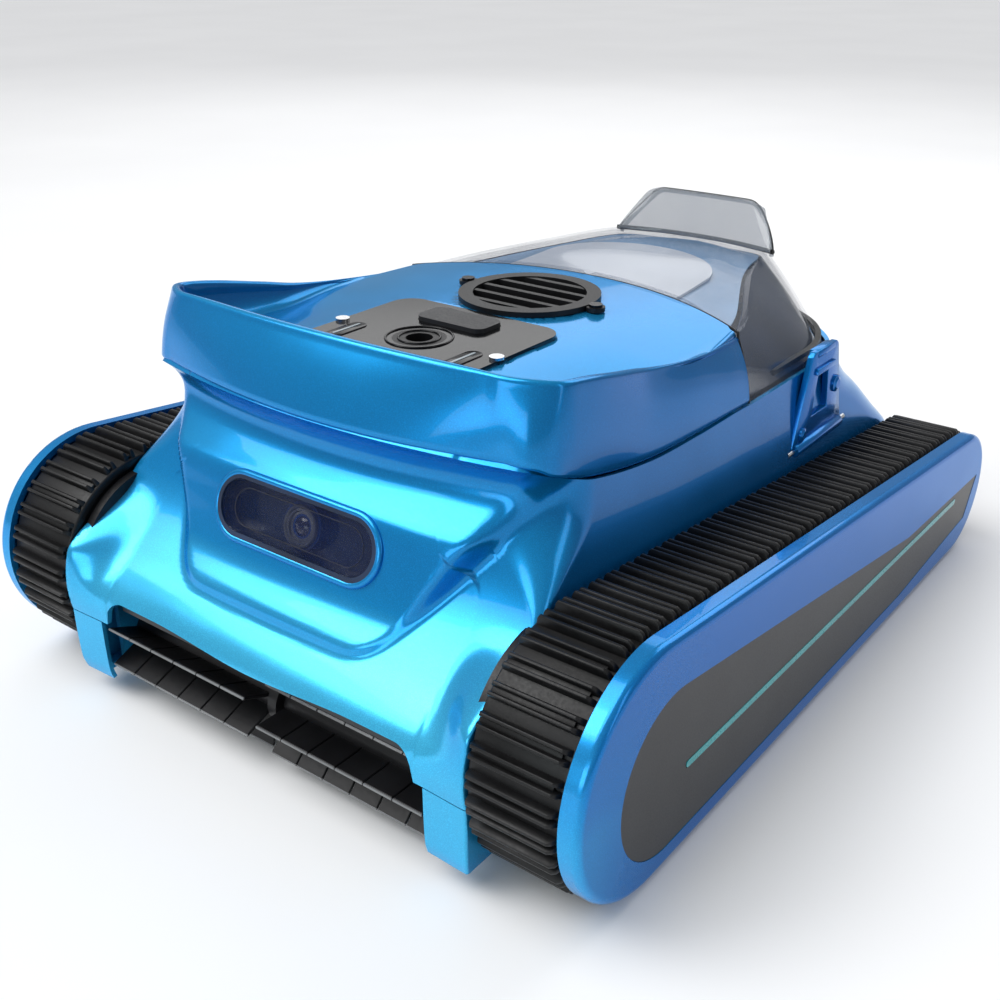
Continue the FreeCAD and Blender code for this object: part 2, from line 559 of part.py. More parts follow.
def build_tracks():
    front_axle = ("front_axle_y", "front_track_radius")
    rear_axle = ("rear_axle_y", "rear_track_radius")
    road_axle = ("road_wheel_y", "road_wheel_z")
    posts = [(f"post_{place}_y", f"post_{place}_z") for place in ("front", "middle", "rear")]

    pair("track_belt", ridged_belt())
    pair("drive_wheel", groove_wheel("drive_wheel", "drive_wheel_radius", "axle_radius", front_axle,
                                     True))
    pair("drive_axle", rod("drive_axle", "x", "axle_radius", "gear_case_x + gear_case_slack",
                           "belt_outer_x - wheel_side_gap / 2", front_axle))
    running = "pin_radius + shaft_clearance"
    pair("idler_wheel", groove_wheel("idler", "idler_wheel_radius", running, rear_axle, True))
    pair("road_wheel", groove_wheel("road", "road_wheel_radius", running, road_axle, False))

    pins = []
    for name, centre in (("idler_pin", rear_axle), ("road_pin", road_axle)):
        shank = rod(name + "_shank", "x", "pin_radius", "hull_half - pan_wall",
                    "wheel_outer_x + track_clearance", centre)
        head = rod(name + "_head", "x", "pin_head_radius", "wheel_outer_x + track_clearance",
                   "wheel_outer_x + track_clearance + pin_head_height * 0.8", centre)
        pins.append(fuse(name, shank, head))
    twins = [mirrored(pin.Name + "_twin", pin) for pin in pins]
    keep(group("wheel_pins_group", *pins, *twins), "wheel_pins")

    side = track_solid("side_plate", size("side_frame_inset"), size("hull_half"),
                       size("frame_outer_x"))
    arms = [rod(f"post_{i}", "x", "post_radius", "frame_outer_x", "cover_floor_x", centre)
            for i, centre in enumerate(posts)]
    bores = [rod(f"post_bore_{i}", "x", "screw_radius", "cover_floor_x - screw_length",
                 "cover_floor_x", centre) for i, centre in enumerate(posts)]
    holes = [rod("axle_bore", "x", "axle_radius + shaft_clearance", "hull_half", "frame_outer_x",
                 front_axle),
             rod("idler_bore", "x", "pin_radius", "hull_half", "frame_outer_x", rear_axle),
             rod("road_bore", "x", "pin_radius", "hull_half", "frame_outer_x", road_axle)]
    pair("side_frame", cut("side_frame", fuse("side_frame_blank", side, *arms), *bores, *holes))

    blank = track_solid("cover_blank", size("cover_inset"), size("cover_inner_x"),
                        size("half_width"))
    doc.recompute()
    rounded = doc.addObject("Part::Fillet", "cover_rounded")
    rounded.Base = blank
    outer = [i for i, edge in enumerate(blank.Shape.Edges, start=1)
             if edge.BoundBox.XMin > size("half_width") - 0.01]
    rounded.Edges = [(i, size("side_cover_round"), size("side_cover_round")) for i in outer]
    hollow = track_solid("cover_hollow_tool", size("cover_inset") + size("cover_rim"),
                         size("cover_inner_x"), size("cover_floor_x"))
    recess = panel_solid("panel_recess_tool", size("panel_gap"), size("recess_x"),
                         size("half_width"))
    seats = [rod(f"cover_seat_{i}", "x", "screw_head_radius", "recess_x - screw_head_height",
                 "recess_x", centre) for i, centre in enumerate(posts)]
    ways = [rod(f"cover_way_{i}", "x", "screw_radius", "cover_floor_x", "recess_x", centre)
            for i, centre in enumerate(posts)]
    pair("side_cover", cut("side_cover", rounded, hollow, recess, *seats, *ways))

    screws = [screw(f"cover_screw_{i}", "x", "cover_floor_x - screw_length", "recess_x", centre)
              for i, centre in enumerate(posts)]
    twins = [mirrored(item.Name + "_twin", item) for item in screws]
    keep(group("cover_screws_group", *screws, *twins), "cover_screws")

    panel = panel_solid("panel_blank", 0.0, size("recess_x"), size("panel_face_x"))
    strip_floor = "panel_face_x - strip_depth"
    strip_corners = [("strip_front_y", "strip_front_z - strip_width / 2"),
                     ("strip_rear_y", "strip_rear_z - strip_width / 2"),
                     ("strip_rear_y", "strip_rear_z + strip_width / 2"),
                     ("strip_front_y", "strip_front_z + strip_width / 2")]
    groove = plate("strip_groove", "yz", strip_corners, strip_floor, "half_width + 1")
    pair("side_panel", cut("side_panel", panel, groove))
    pair("light_strip", plate("strip", "yz", strip_corners, strip_floor,
                              "panel_face_x + strip_proud", "strip_width / 2 - 0.05"))


# ---- hull ---------------------------------------------------------------------------------------

def build_pan():
    box = block("pan_box", ("-hull_half", "hull_half"),
                ("front_y + pan_front_gap", "rear_y - pan_rear_gap"), ("pan_bottom", "hull_seam"))
    room = block("pan_room", ("-hull_half + pan_wall", "hull_half - pan_wall"),
                 ("front_y + pan_front_gap + pan_wall", "rear_y - pan_rear_gap - pan_wall"),
                 ("pan_bottom + pan_wall", "hull_seam + 1"))
    bay = block("bay_way", ("-bay_outer_x", "bay_outer_x"),
                ("front_y", "brush_y + bay_radius + hood_wall"), ("0", "hull_seam + 1"))
    centre = ("brush_y", "brush_z")
    hood_outer = rod("hood_outer", "x", "bay_radius + hood_wall", "-bay_outer_x", "bay_outer_x",
                     centre)
    hood_inner = rod("hood_inner", "x", "bay_radius", "-bay_end_x", "bay_end_x", centre)
    hood_zone = block("hood_zone", ("-bay_outer_x", "bay_outer_x"),
                      ("brush_y - hood_front_gap", "brush_y + bay_radius + hood_wall + 1"),
                      ("pan_bottom", "brush_z + bay_radius + hood_wall + 1"))
    hood = common("hood", cut("hood_shell", hood_outer, hood_inner), hood_zone)
    bearings = [rod(f"brush_bearing_{i}", "x", "brush_shaft_radius + shaft_clearance", low, high,
                    centre)
                for i, (low, high) in enumerate((("-bay_outer_x - 1", "-bay_end_x + 1"),
                                                 ("bay_end_x - 1", "bay_outer_x + 1")))]
    slot = block("pan_slot", ("-inlet_half_width", "inlet_half_width"),
                 ("inlet_front_y", "inlet_rear_y"), ("pan_bottom - 1", "pan_bottom + pan_wall + 1"))
    pin_ways = [rod(f"pan_pin_{i}", "x", "pin_radius", "-hull_half", "hull_half", place)
                for i, place in enumerate((("rear_axle_y", "rear_track_radius"),
                                           ("road_wheel_y", "road_wheel_z")))]
    sunk = []
    for i, (x, y) in enumerate(hull_bosses()):
        sunk.append(rod(f"pan_seat_{i}", "z", "screw_head_radius", "pan_bottom",
                        "pan_bottom + screw_head_height", (x, y)))
        sunk.append(rod(f"pan_way_{i}", "z", "screw_radius", "pan_bottom", "pan_bottom + pan_wall",
                        (x, y)))
    tub = cut("pan_tub", box, room, bay)
    keep(cut("pan", fuse("pan_blank", tub, hood), *bearings, slot, *pin_ways, *sunk),
         "chassis_pan")
    screws = [screw(f"pan_screw_{i}", "-z", "pan_bottom + screw_length", "pan_bottom", place)
              for i, place in enumerate(hull_bosses())]
    keep(group("pan_screws_group", *screws), "pan_screws")


def hull_bosses():
    return [(x, y) for x in ("-boss_x", "boss_x") for y in ("boss_front_y", "boss_rear_y")]


HULL_HEIGHTS = (("sill", "hull_seam"), ("waist", "waist_height"),
                ("shoulder", "shoulder_height"), ("seam", "deck_seam"))


def build_shell():
    levels = [(level, size(height)) for level, height in HULL_HEIGHTS]
    levels[0] = (levels[0][0], levels[0][1] + size("seam_gap"))
    outer = loft("shell_outer", levels)
    inner_levels = [(level, height, size("shell_wall")) for level, height in levels]
    inner_levels[0] = ("sill", levels[0][1] - 1, size("shell_wall"))
    inner_levels[-1] = ("seam", size("deck_seam") + 1, size("shell_wall"))
    inner = loft("shell_inner", inner_levels)
    lug_x = ("hull_half - 4", "latch_pin_x + latch_barrel - 0.4")
    lugs = []
    for side, (low, high) in (("r", lug_x), ("l", (f"-({lug_x[1]})", f"-({lug_x[0]})"))):
        for place, (y_low, y_high) in (
                ("front", ("latch_front_y", "latch_front_y + latch_lug")),
                ("rear", ("latch_rear_y - latch_lug", "latch_rear_y"))):
            lugs.append(block(f"lug_{side}_{place}", (low, high), (y_low, y_high),
                              ("latch_pin_z - latch_lug_height / 2",
                               "latch_pin_z + latch_lug_height / 2")))
    bosses = [rod(f"shell_boss_{i}", "z", "boss_radius", "pan_bottom + pan_wall", "boss_top", place)
              for i, place in enumerate(hull_bosses())]
    webs = []
    for i, (x, y) in enumerate(hull_bosses()):
        reach = "hull_half - shell_wall + 1"
        span = (f"-({reach})", x) if x.startswith("-") else (x, reach)
        webs.append(block(f"boss_web_{i}", span, (f"{y} - boss_web / 2", f"{y} + boss_web / 2"),
                          ("hull_seam + 1", "boss_top")))
    boss_ways = [rod(f"boss_way_{i}", "z", "screw_radius", "pan_bottom",
                     "pan_bottom + screw_length", place) for i, place in enumerate(hull_bosses())]
    mouth = block("mouth", ("-mouth_half", "mouth_half"), ("front_y - 1", "front_y + mouth_depth"),
                  ("hull_seam - 1", "mouth_top"))
    eye = lean_back(group("camera_way_holder",
                          oblong("camera_way", "camera_half_width + seat_clearance",
                                 "camera_half_height + seat_clearance", "camera_y - 15",
                                 "camera_y + 25")))
    axle_way = rod("axle_way", "x", "axle_radius + axle_hole_gap", "-hull_half - 1",
                   "hull_half + 1", ("front_axle_y", "front_track_radius"))
    pin_ways = [rod(f"latch_way_{i}", "y", "latch_pin_radius", "latch_front_y - 1",
                    "latch_rear_y + 1", (x, "latch_pin_z"))
                for i, x in enumerate(("latch_pin_x", "-latch_pin_x"))]
    skin = cut("shell_skin", outer, inner)
    keep(cut("shell", fuse("shell_blank", skin, *lugs, *bosses, *webs), mouth, eye, axle_way,
             *pin_ways, *boss_ways), "body_shell")


def deck_lofts():
    """The outside and the inside of the deck that the front cover and the lid share."""
    heights = {"seam": size("deck_seam") + size("seam_gap"),
               "rim": size("deck_top") - size("rim_drop"),
               "crown": size("deck_top") - size("crown_drop"), "roof": size("deck_top")}
    outer = loft("deck_outer", list(heights.items()))
    wall = size("deck_wall")
    inner = loft("deck_inner", [("seam", heights["seam"] - 1, wall), ("rim", heights["rim"], wall),
                                ("crown", heights["crown"] - wall, wall),
                                ("roof", heights["roof"] - wall, wall)])
    return outer, cut("deck_skin", outer, inner)


def deck_panel_plate(name, grow, low, high):
    """The outline of the control panel, grown all round."""
    half = f"deck_panel_half_width + {grow}"
    front, rear = f"deck_panel_front_y - {grow}", f"deck_panel_rear_y + {grow}"
    return plate(name, "xy", [(f"-({half})", front), (half, front), (half, rear),
                              (f"-({half})", rear)], low, high, f"deck_panel_corner + {grow}")


def build_top_cover(deck_skin):
    arc_front = rod("arc_front", "z", "lid_arc_radius - lid_half_gap", "0", "deck_top + 60",
                    ("0", "lid_arc_y"))
    roof = common("front_roof", deck_skin, arc_front)

    lip_outer = loft("lip_outer", [("lip_low", size("lip_bottom")), ("lip_high", size("lip_top"))])
    lip_inner = loft("lip_inner",
                     [("lip_low", size("lip_bottom") - 1, size("lip_foot")),
                      ("lip_high", size("lip_top") + 1, size("lip_thickness"))])
    lip_front = block("lip_zone", ("-half_width", "half_width"), ("front_y", "lip_end_y"),
                      ("lip_bottom", "lip_top"))
    slope = plate("lip_slope", "yz", [("lip_straight_y", "lip_top"), ("lip_end_y", "lip_end_z"),
                                      ("lip_end_y + 5", "lip_end_z"), ("lip_end_y + 5", "lip_top + 9"),
                                      ("lip_straight_y", "lip_top + 9")],
                  "-half_width", "half_width")
    lip = cut("lip", common("lip_band", cut("lip_ring", lip_outer, lip_inner), lip_front), slope)

    ledge = deck_panel_plate("ledge_block", "ledge_overlap", "panel_bottom - ledge_height",
                             "deck_top - 1")
    window = deck_panel_plate("ledge_window", "-ledge_width", "panel_bottom - ledge_height - 1",
                              "panel_bottom + 1")
    pocket = deck_panel_plate("panel_pocket", "seat_clearance", "panel_bottom", "panel_top + 1")
    posts = [rod(f"board_post_{i}", "z", "board_post_radius", "board_top",
                 "panel_bottom - ledge_height / 2", place)
             for i, place in enumerate(board_corners())]

    eye = rod("grille_way", "z", "grille_radius - grille_ring / 2 + seat_clearance",
              "deck_top - 20", "deck_top + 1", ("0", "pump_y"))
    screw_ways = [rod(f"grille_screw_way_{i}", "z", "small_screw_radius", "deck_top - 10",
                      "deck_top + 1", (x, "pump_y"))
                  for i, x in enumerate(("-grille_tab_x", "grille_tab_x"))]
    ears = [block("ear_right", ("lid_pin_x", "lid_pin_x + knuckle_length"),
                  ("lid_pin_y - knuckle_reach", "lid_pin_y"),
                  ("lid_pin_z - knuckle_drop", "lid_pin_z")),
            rod("ear_right_eye", "x", "knuckle_radius", "lid_pin_x", "lid_pin_x + knuckle_length",
                ("lid_pin_y", "lid_pin_z"))]
    ears += [mirrored(ear.Name + "_twin", ear) for ear in ears]
    pin_way = rod("ear_way", "x", "lid_pin_radius", "-half_width", "half_width",
                  ("lid_pin_y", "lid_pin_z"))
    trimmed = cut("ledge_trimmed", fuse("front_deck", roof, lip, ledge), pocket, window, eye,
                  *screw_ways)
    keep(cut("front_cover", fuse("front_cover_blank", trimmed, *posts, *ears), pin_way,
             *panel_screw_ways("ledge")), "top_cover")


def board_corners():
    """Where the board hangs from the deck: under the panel's ledge."""
    x = "deck_panel_half_width - board_post_inset"
    front = "deck_panel_front_y + board_post_inset"
    rear = "deck_panel_rear_y - board_post_inset"
    return [(sx + f"({x})", y) for sx in ("", "-") for y in (front, rear)]


def panel_screw_places():
    x = "deck_panel_half_width - ledge_width / 2"
    return [(sx + f"({x})", "deck_panel_front_y + panel_screw_reach") for sx in ("", "-")]


def panel_screw_ways(stem):
    return [rod(f"{stem}_way_{i}", "z", "small_screw_radius", "panel_top - small_screw_length",
                "panel_top + 1", place) for i, place in enumerate(panel_screw_places())]


def build_lid(deck_outer, deck_skin):
    arc_rear = rod("arc_rear", "z", "lid_arc_radius + lid_half_gap", "0", "deck_top + 60",
                   ("0", "lid_arc_y"))
    shell = cut("lid_shell", deck_skin, arc_rear)
    inner_x = "lid_pin_x + knuckle_length + track_clearance"
    outer_x, low_z = f"{inner_x} + knuckle_length", "lid_pin_z - knuckle_drop"
    ears = [block("lid_ear", (inner_x, outer_x), ("lid_pin_y", "lid_pin_y + lid_reach"),
                  (low_z, "lid_pin_z")),
            block("lid_ear_root", ("lid_pin_x", outer_x),
                  ("lid_pin_y + lid_ear_gap", "lid_pin_y + lid_reach"), (low_z, "lid_pin_z")),
            rod("lid_ear_eye", "x", "knuckle_radius", inner_x, f"{inner_x} + knuckle_length",
                ("lid_pin_y", "lid_pin_z"))]
    ears += [mirrored(ear.Name + "_twin", ear) for ear in ears]
    way = rod("lid_pin_way", "x", "lid_pin_radius + shaft_clearance", "-half_width", "half_width",
              ("lid_pin_y", "lid_pin_z"))
    keep(cut("lid", fuse("lid_blank", shell, *ears), way), "rear_cover")

    pin = fuse("lid_pin", rod("lid_pin_shank", "x", "lid_pin_radius", "lid_pin_x",
                              f"{inner_x} + knuckle_length + track_clearance",
                              ("lid_pin_y", "lid_pin_z")),
               rod("lid_pin_cap", "x", "lid_pin_head", f"{inner_x} + knuckle_length + track_clearance",
                   f"{inner_x} + knuckle_length + track_clearance + lid_pin_head_length",
                   ("lid_pin_y", "lid_pin_z")))
    keep(group("lid_pins", pin, mirrored("lid_pin_twin", pin)), "cover_hinge_pins")

    ring = [level_bar("seal_outer", size("seal_gap")),
            level_bar("seal_inner", size("seal_gap") + size("seal_width"))]
    rear = block("seal_zone", ("-half_width", "half_width"), ("seal_front_y", "rear_y"),
                 ("deck_seam", "deck_top"))
    seal_half = "hull_half - seam_side - seal_gap"
    bar = block("seal_bar", (f"-({seal_half})", seal_half),
                ("seal_front_y", "seal_front_y + seal_width"),
                ("seal_bottom", "seal_bottom + seal_height"))
    bow = common("seal_bow", cut("seal_ring", *ring), rear)
    keep(fuse("lid_seal", bow, bar), "cover_seal")

    blade = plate("grip_blade", "xz", [("-grip_base", "0"), ("grip_base", "0"),
                                       ("grip_tip", "grip_length"), ("-grip_tip", "grip_length")],
                  "0", "grip_thickness", "grip_round")
    base = FreeCAD.Vector(0, size("grip_y"), size("deck_top") - size("grip_sink"))
    blade.setExpression("Placement.Base.y", None)
    lean = FreeCAD.Rotation(FreeCAD.Vector(1, 0, 0), -size("grip_lean"))
    blade.Placement = FreeCAD.Placement(base, lean)
    keep(cut("grip", blade, deck_outer), "cover_grip")


def build_latches():
    y_low = "latch_front_y + latch_lug + track_clearance"
    y_high = "latch_rear_y - latch_lug - track_clearance"
    centre = ("latch_pin_x", "latch_pin_z")
    barrel = rod("latch_barrel_rod", "y", "latch_barrel", y_low, y_high, centre)
    leaf = plate("latch_leaf", "yz", [(f"{y_low} + latch_shoulder", "latch_pin_z"),
                                      (f"{y_high} - latch_shoulder", "latch_pin_z"),
                                      (f"{y_high} - latch_shoulder - latch_taper", "latch_top"),
                                      (f"{y_low} + latch_shoulder + latch_taper", "latch_top")],
                 "latch_pin_x - latch_plate / 2", "latch_pin_x + latch_plate / 2", "latch_shoulder")
    middle = "(latch_front_y + latch_rear_y) / 2"
    hook = block("latch_hook_block", ("latch_pin_x - latch_plate / 2 - latch_hook + 0.8",
                                      "latch_pin_x"),
                 (f"{middle} - latch_hook_half", f"{middle} + latch_hook_half"),
                 ("latch_top - latch_hook_height", "latch_top"))
    way = rod("latch_bore", "y", "latch_pin_radius + shaft_clearance", "latch_front_y",
              "latch_rear_y", centre)
    pair("side_latch", cut("latch", fuse("latch_blank", barrel, leaf, hook), way))
    pin = rod("latch_pin", "y", "latch_pin_radius", "latch_front_y", "latch_rear_y", centre)
    keep(group("latch_pin_group", pin, mirrored("latch_pin_twin", pin)), "latch_pins")


# ---- camera -------------------------------------------------------------------------------------

def build_camera():
    front = "camera_y - bezel_proud"
    back = "camera_y + bezel_depth"
    outer = oblong("bezel_outer", "camera_half_width", "camera_half_height", front, back)
    inner = oblong("bezel_inner", "camera_half_width - bezel_wall",
                   "camera_half_height - bezel_wall", f"{front} - 1", f"{back} - bezel_back")
    barrel_way = rod("bezel_way", "y", "barrel_radius", front, f"{back} + 1", ("0", "camera_z"))
    keep(lean_back(cut("bezel", outer, inner, barrel_way)), "camera_bezel")

    glass = oblong("window", "camera_half_width - bezel_wall", "camera_half_height - bezel_wall",
                   f"{front} + window_inset", f"{front} + window_inset + window_thickness")
    keep(lean_back(group("window_holder", glass)), "camera_window")

    lens_front = f"{front} + window_inset + window_thickness + 0.3"
    barrel_front = f"{lens_front} + lens_thickness"
    lens = rod("lens", "y", "lens_radius", lens_front, barrel_front, ("0", "camera_z"))
    keep(lean_back(group("lens_holder", lens)), "camera_lens")
    barrel = rod("barrel", "y", "barrel_radius", barrel_front, f"{barrel_front} + barrel_length",
                 ("0", "camera_z"))
    housing = block("module_housing", ("-module_half_width", "module_half_width"),
                    (back, f"{back} + module_depth"),
                    ("camera_z - camera_half_height", "camera_z + camera_half_height"))
    keep(lean_back(fuse("module", barrel, housing)), "camera_module")


# ---- brush --------------------------------------------------------------------------------------

def build_brush():
    centre = ("brush_y", "brush_z")
    core = rod("core_rod", "x", "brush_core_radius", "-brush_half", "brush_half", centre)
    shaft = rod("core_shaft", "x", "brush_shaft_radius", "-bay_outer_x - 2", "bay_outer_x + 2",
                centre)
    keep(fuse("core", core, shaft), "brush_core")

    count = round(size("blade_count"))
    core_radius = size("brush_core_radius") + size("sleeve_thickness") / 2
    for side, sign, offset in (("right", 1, 0.0), ("left", -1, 0.5)):
        near, far = "brush_centre_gap", "brush_half - 1"
        low, high = (near, far) if sign > 0 else (f"-({far})", f"-({near})")
        outer = rod(f"sleeve_{side}", "x", "brush_core_radius + sleeve_thickness", low, high, centre)
        inner = rod(f"sleeve_bore_{side}", "x", "brush_core_radius", low, high, centre)
        blades = []
        for number in range(count):
            blade = doc.addObject("Part::Box", f"blade_{side}_{number}")
            blade.setExpression("Length", formula(f"({high}) - ({low})"))
            blade.setExpression("Width", formula("blade_thickness"))
            blade.setExpression("Height", formula("brush_radius - brush_core_radius"
                                                  " - sleeve_thickness / 2"))
            x = size("brush_centre_gap") if sign > 0 else 1 - size("brush_half")
            turn = FreeCAD.Rotation(FreeCAD.Vector(1, 0, 0), 360 * (number + offset) / count)
            seat = turn.multVec(FreeCAD.Vector(0, -size("blade_thickness") / 2, core_radius))
            hub = FreeCAD.Vector(x, size("brush_y"), size("brush_z"))
            blade.Placement = FreeCAD.Placement(hub + seat, turn)
            blades.append(blade)
        keep(cut(f"blades_{side}", fuse(f"blades_{side}_blank", outer, *blades), inner),
             f"brush_blades_{side}")

    ring = rod("centre_ring", "x", "brush_core_radius + track_clearance + centre_ring_wall",
               "-centre_ring_width / 2", "centre_ring_width / 2", centre)
    arm = block("centre_arm_block", ("-centre_ring_width / 2", "centre_ring_width / 2"),
                ("brush_y - centre_arm / 2", "brush_y + centre_arm / 2"),
                ("brush_z + brush_core_radius", "brush_z + bay_radius - 0.1"))
    hole = rod("centre_hole", "x", "brush_core_radius + track_clearance", "-centre_ring_width",
               "centre_ring_width", centre)
    keep(cut("centre_support", fuse("centre_blank", ring, arm), hole), "brush_bearing")

    keep(block("wiper", ("-mouth_half + 1", "mouth_half - 1"),
               ("wiper_y", "wiper_y + wiper_thickness"),
               ("mouth_top - wiper_drop", "mouth_top + wiper_rise")), "mouth_wiper")


# ---- pump ---------------------------------------------------------------------------------------

def build_pump():
    centre = ("0", "pump_y")
    tube = cut("duct_tube", rod("duct_outer", "z", "duct_radius", "volute_top - 1", "duct_top", centre),
               rod("duct_inner", "z", "duct_radius - duct_wall", "volute_top - 3", "duct_top + 1",
                   centre))
    half = "volute_half_width"
    chest = block("volute", (f"-{half}", half), (f"pump_y - {half}", "well_front_y"),
                  ("pan_bottom + pan_wall", "volute_top"))
    room = block("volute_room", (f"-{half} + duct_wall", f"{half} - duct_wall"),
                 (f"pump_y - {half} + duct_wall", "well_front_y - duct_wall"),
                 ("pan_bottom + pan_wall + duct_wall", "volute_top - duct_wall"))
    eye = rod("volute_eye", "z", "duct_radius - duct_wall", "volute_top - 4", "volute_top + 1",
              centre)
    port = water_port("volute_port")
    vane = "vane_thickness / 2"
    reach = "duct_radius - duct_wall / 2"
    vanes = [block("vane_x", (f"-({reach})", reach), (f"pump_y - {vane}", f"pump_y + {vane}"),
                   ("collar_bottom", "collar_top")),
             block("vane_y", (f"-{vane}", vane), (f"pump_y - ({reach})", f"pump_y + ({reach})"),
                   ("collar_bottom", "collar_top")),
             rod("motor_collar_rod", "z", "motor_radius + motor_collar", "collar_bottom",
                 "collar_top", centre)]
    motor_way = rod("motor_way", "z", "motor_radius", "collar_bottom - 1", "collar_top + 1", centre)
    chamber = cut("volute_shell", chest, room, eye, port)
    spider = cut("spider", fuse("spider_blank", *vanes), motor_way)
    keep(fuse("duct", chamber, tube, spider), "pump_duct")

    keep(fuse("motor", rod("motor_can", "z", "motor_radius", "motor_bottom", "motor_top", centre),
              rod("motor_shaft", "z", "motor_shaft_radius", "motor_top", "motor_shaft_top", centre)),
         "pump_motor")

    low, high = "impeller_bottom", "impeller_bottom + impeller_height"
    hub = rod("impeller_hub_rod", "z", "impeller_hub", low, high, centre)
    bore = rod("impeller_bore", "z", "motor_shaft_radius + shaft_clearance", f"{low} - 1",
               f"{high} + 1", centre)
    limit = rod("impeller_limit", "z", "impeller_radius", low, high, centre)
    blades = []
    middle = FreeCAD.Vector(0, size("pump_y"), size("impeller_bottom") + size("impeller_height") / 2)
    for number in range(round(size("impeller_blades"))):
        blade = doc.addObject("Part::Box", f"impeller_blade_{number}")
        blade.setExpression("Length", formula("impeller_radius + 2"))
        blade.setExpression("Width", formula("vane_thickness"))
        blade.setExpression("Height", formula("impeller_height * 2"))
        pitch = FreeCAD.Rotation(FreeCAD.Vector(1, 0, 0), size("impeller_pitch"))
        spin = FreeCAD.Rotation(FreeCAD.Vector(0, 0, 1), 360 * number / size("impeller_blades"))
        corner = FreeCAD.Vector(0, -size("vane_thickness") / 2, -size("impeller_height"))
        turn = spin.multiply(pitch)
        blade.Placement = FreeCAD.Placement(middle + turn.multVec(corner), turn)
        blades.append(blade)
    fan = common("impeller_fan", fuse("impeller_blades_all", *blades), limit)
    keep(cut("impeller_body", fuse("impeller_blank", hub, fan), bore), "impeller")


def water_port(name):
    """The way for the water from the filter housing to the pump."""
    return block(name, ("-water_port_half_width", "water_port_half_width"),
                 ("well_front_y - well_wall - 1", "well_front_y + well_wall + 1"),
                 ("water_port_bottom", "water_port_top"))


def build_grille():
    neck = "grille_radius - grille_ring / 2"
    inner = "grille_radius - grille_ring"
    bottom, top = "deck_top - grille_neck", "deck_top + grille_proud"
    ring = turned("grille_ring_body", "z", [(bottom, inner), (bottom, neck), ("deck_top", neck),
                                            ("deck_top", "grille_radius"), (top, "grille_radius"),
                                            (top, inner)], ("0", "pump_y"))
    limit = rod("grille_limit", "z", f"{inner} + 1", bottom, top, ("0", "pump_y"))
    bars = [block(f"grille_bar_{i}", ("-grille_radius", "grille_radius"),
                  (f"pump_y + {i} * grille_bar_pitch - grille_bar / 2",
                   f"pump_y + {i} * grille_bar_pitch + grille_bar / 2"),
                  (f"{top} - 5", f"{top} - 0.5")) for i in range(-2, 3)]
    louvres = common("grille_louvres", fuse("grille_bars", *bars), limit)
    tabs = [rod(f"grille_tab_{i}", "z", "grille_tab", "deck_top", f"{top} - 0.5", (x, "pump_y"))
            for i, x in enumerate(("-grille_tab_x", "grille_tab_x"))]
    bore = rod("grille_bore", "z", inner, f"{bottom} - 1", f"{top} + 1", ("0", "pump_y"))
    frame = cut("grille_frame", fuse("grille_frame_blank", ring, *tabs), bore)
    ways = [rod(f"grille_tab_way_{i}", "z", "small_screw_radius", "deck_top - 1", f"{top} + 1",
                (x, "pump_y")) for i, x in enumerate(("-grille_tab_x", "grille_tab_x"))]
    keep(cut("grille", fuse("grille_blank", frame, louvres), *ways), "outlet_grille")
    screws = [screw(f"grille_screw_{i}", "z", "deck_top - small_screw_length",
                    f"{top} - 0.5 + small_head_height", (x, "pump_y"), "small_screw_radius",
                    "small_head_radius", "small_head_height")
              for i, x in enumerate(("-grille_tab_x", "grille_tab_x"))]
    keep(group("grille_screw_group", *screws), "grille_screws")


# ---- control panel --------------------------------------------------------------------------------

def button_plate(name, grow, low, high):
    half, depth = f"button_half_width + {grow}", f"button_half_depth + {grow}"
    return plate(name, "xy", [(f"-({half})", f"button_y - ({depth})"),
                              (half, f"button_y - ({depth})"), (half, f"button_y + {depth}"),
                              (f"-({half})", f"button_y + {depth}")], low, high,
                 f"button_corner + {grow}")


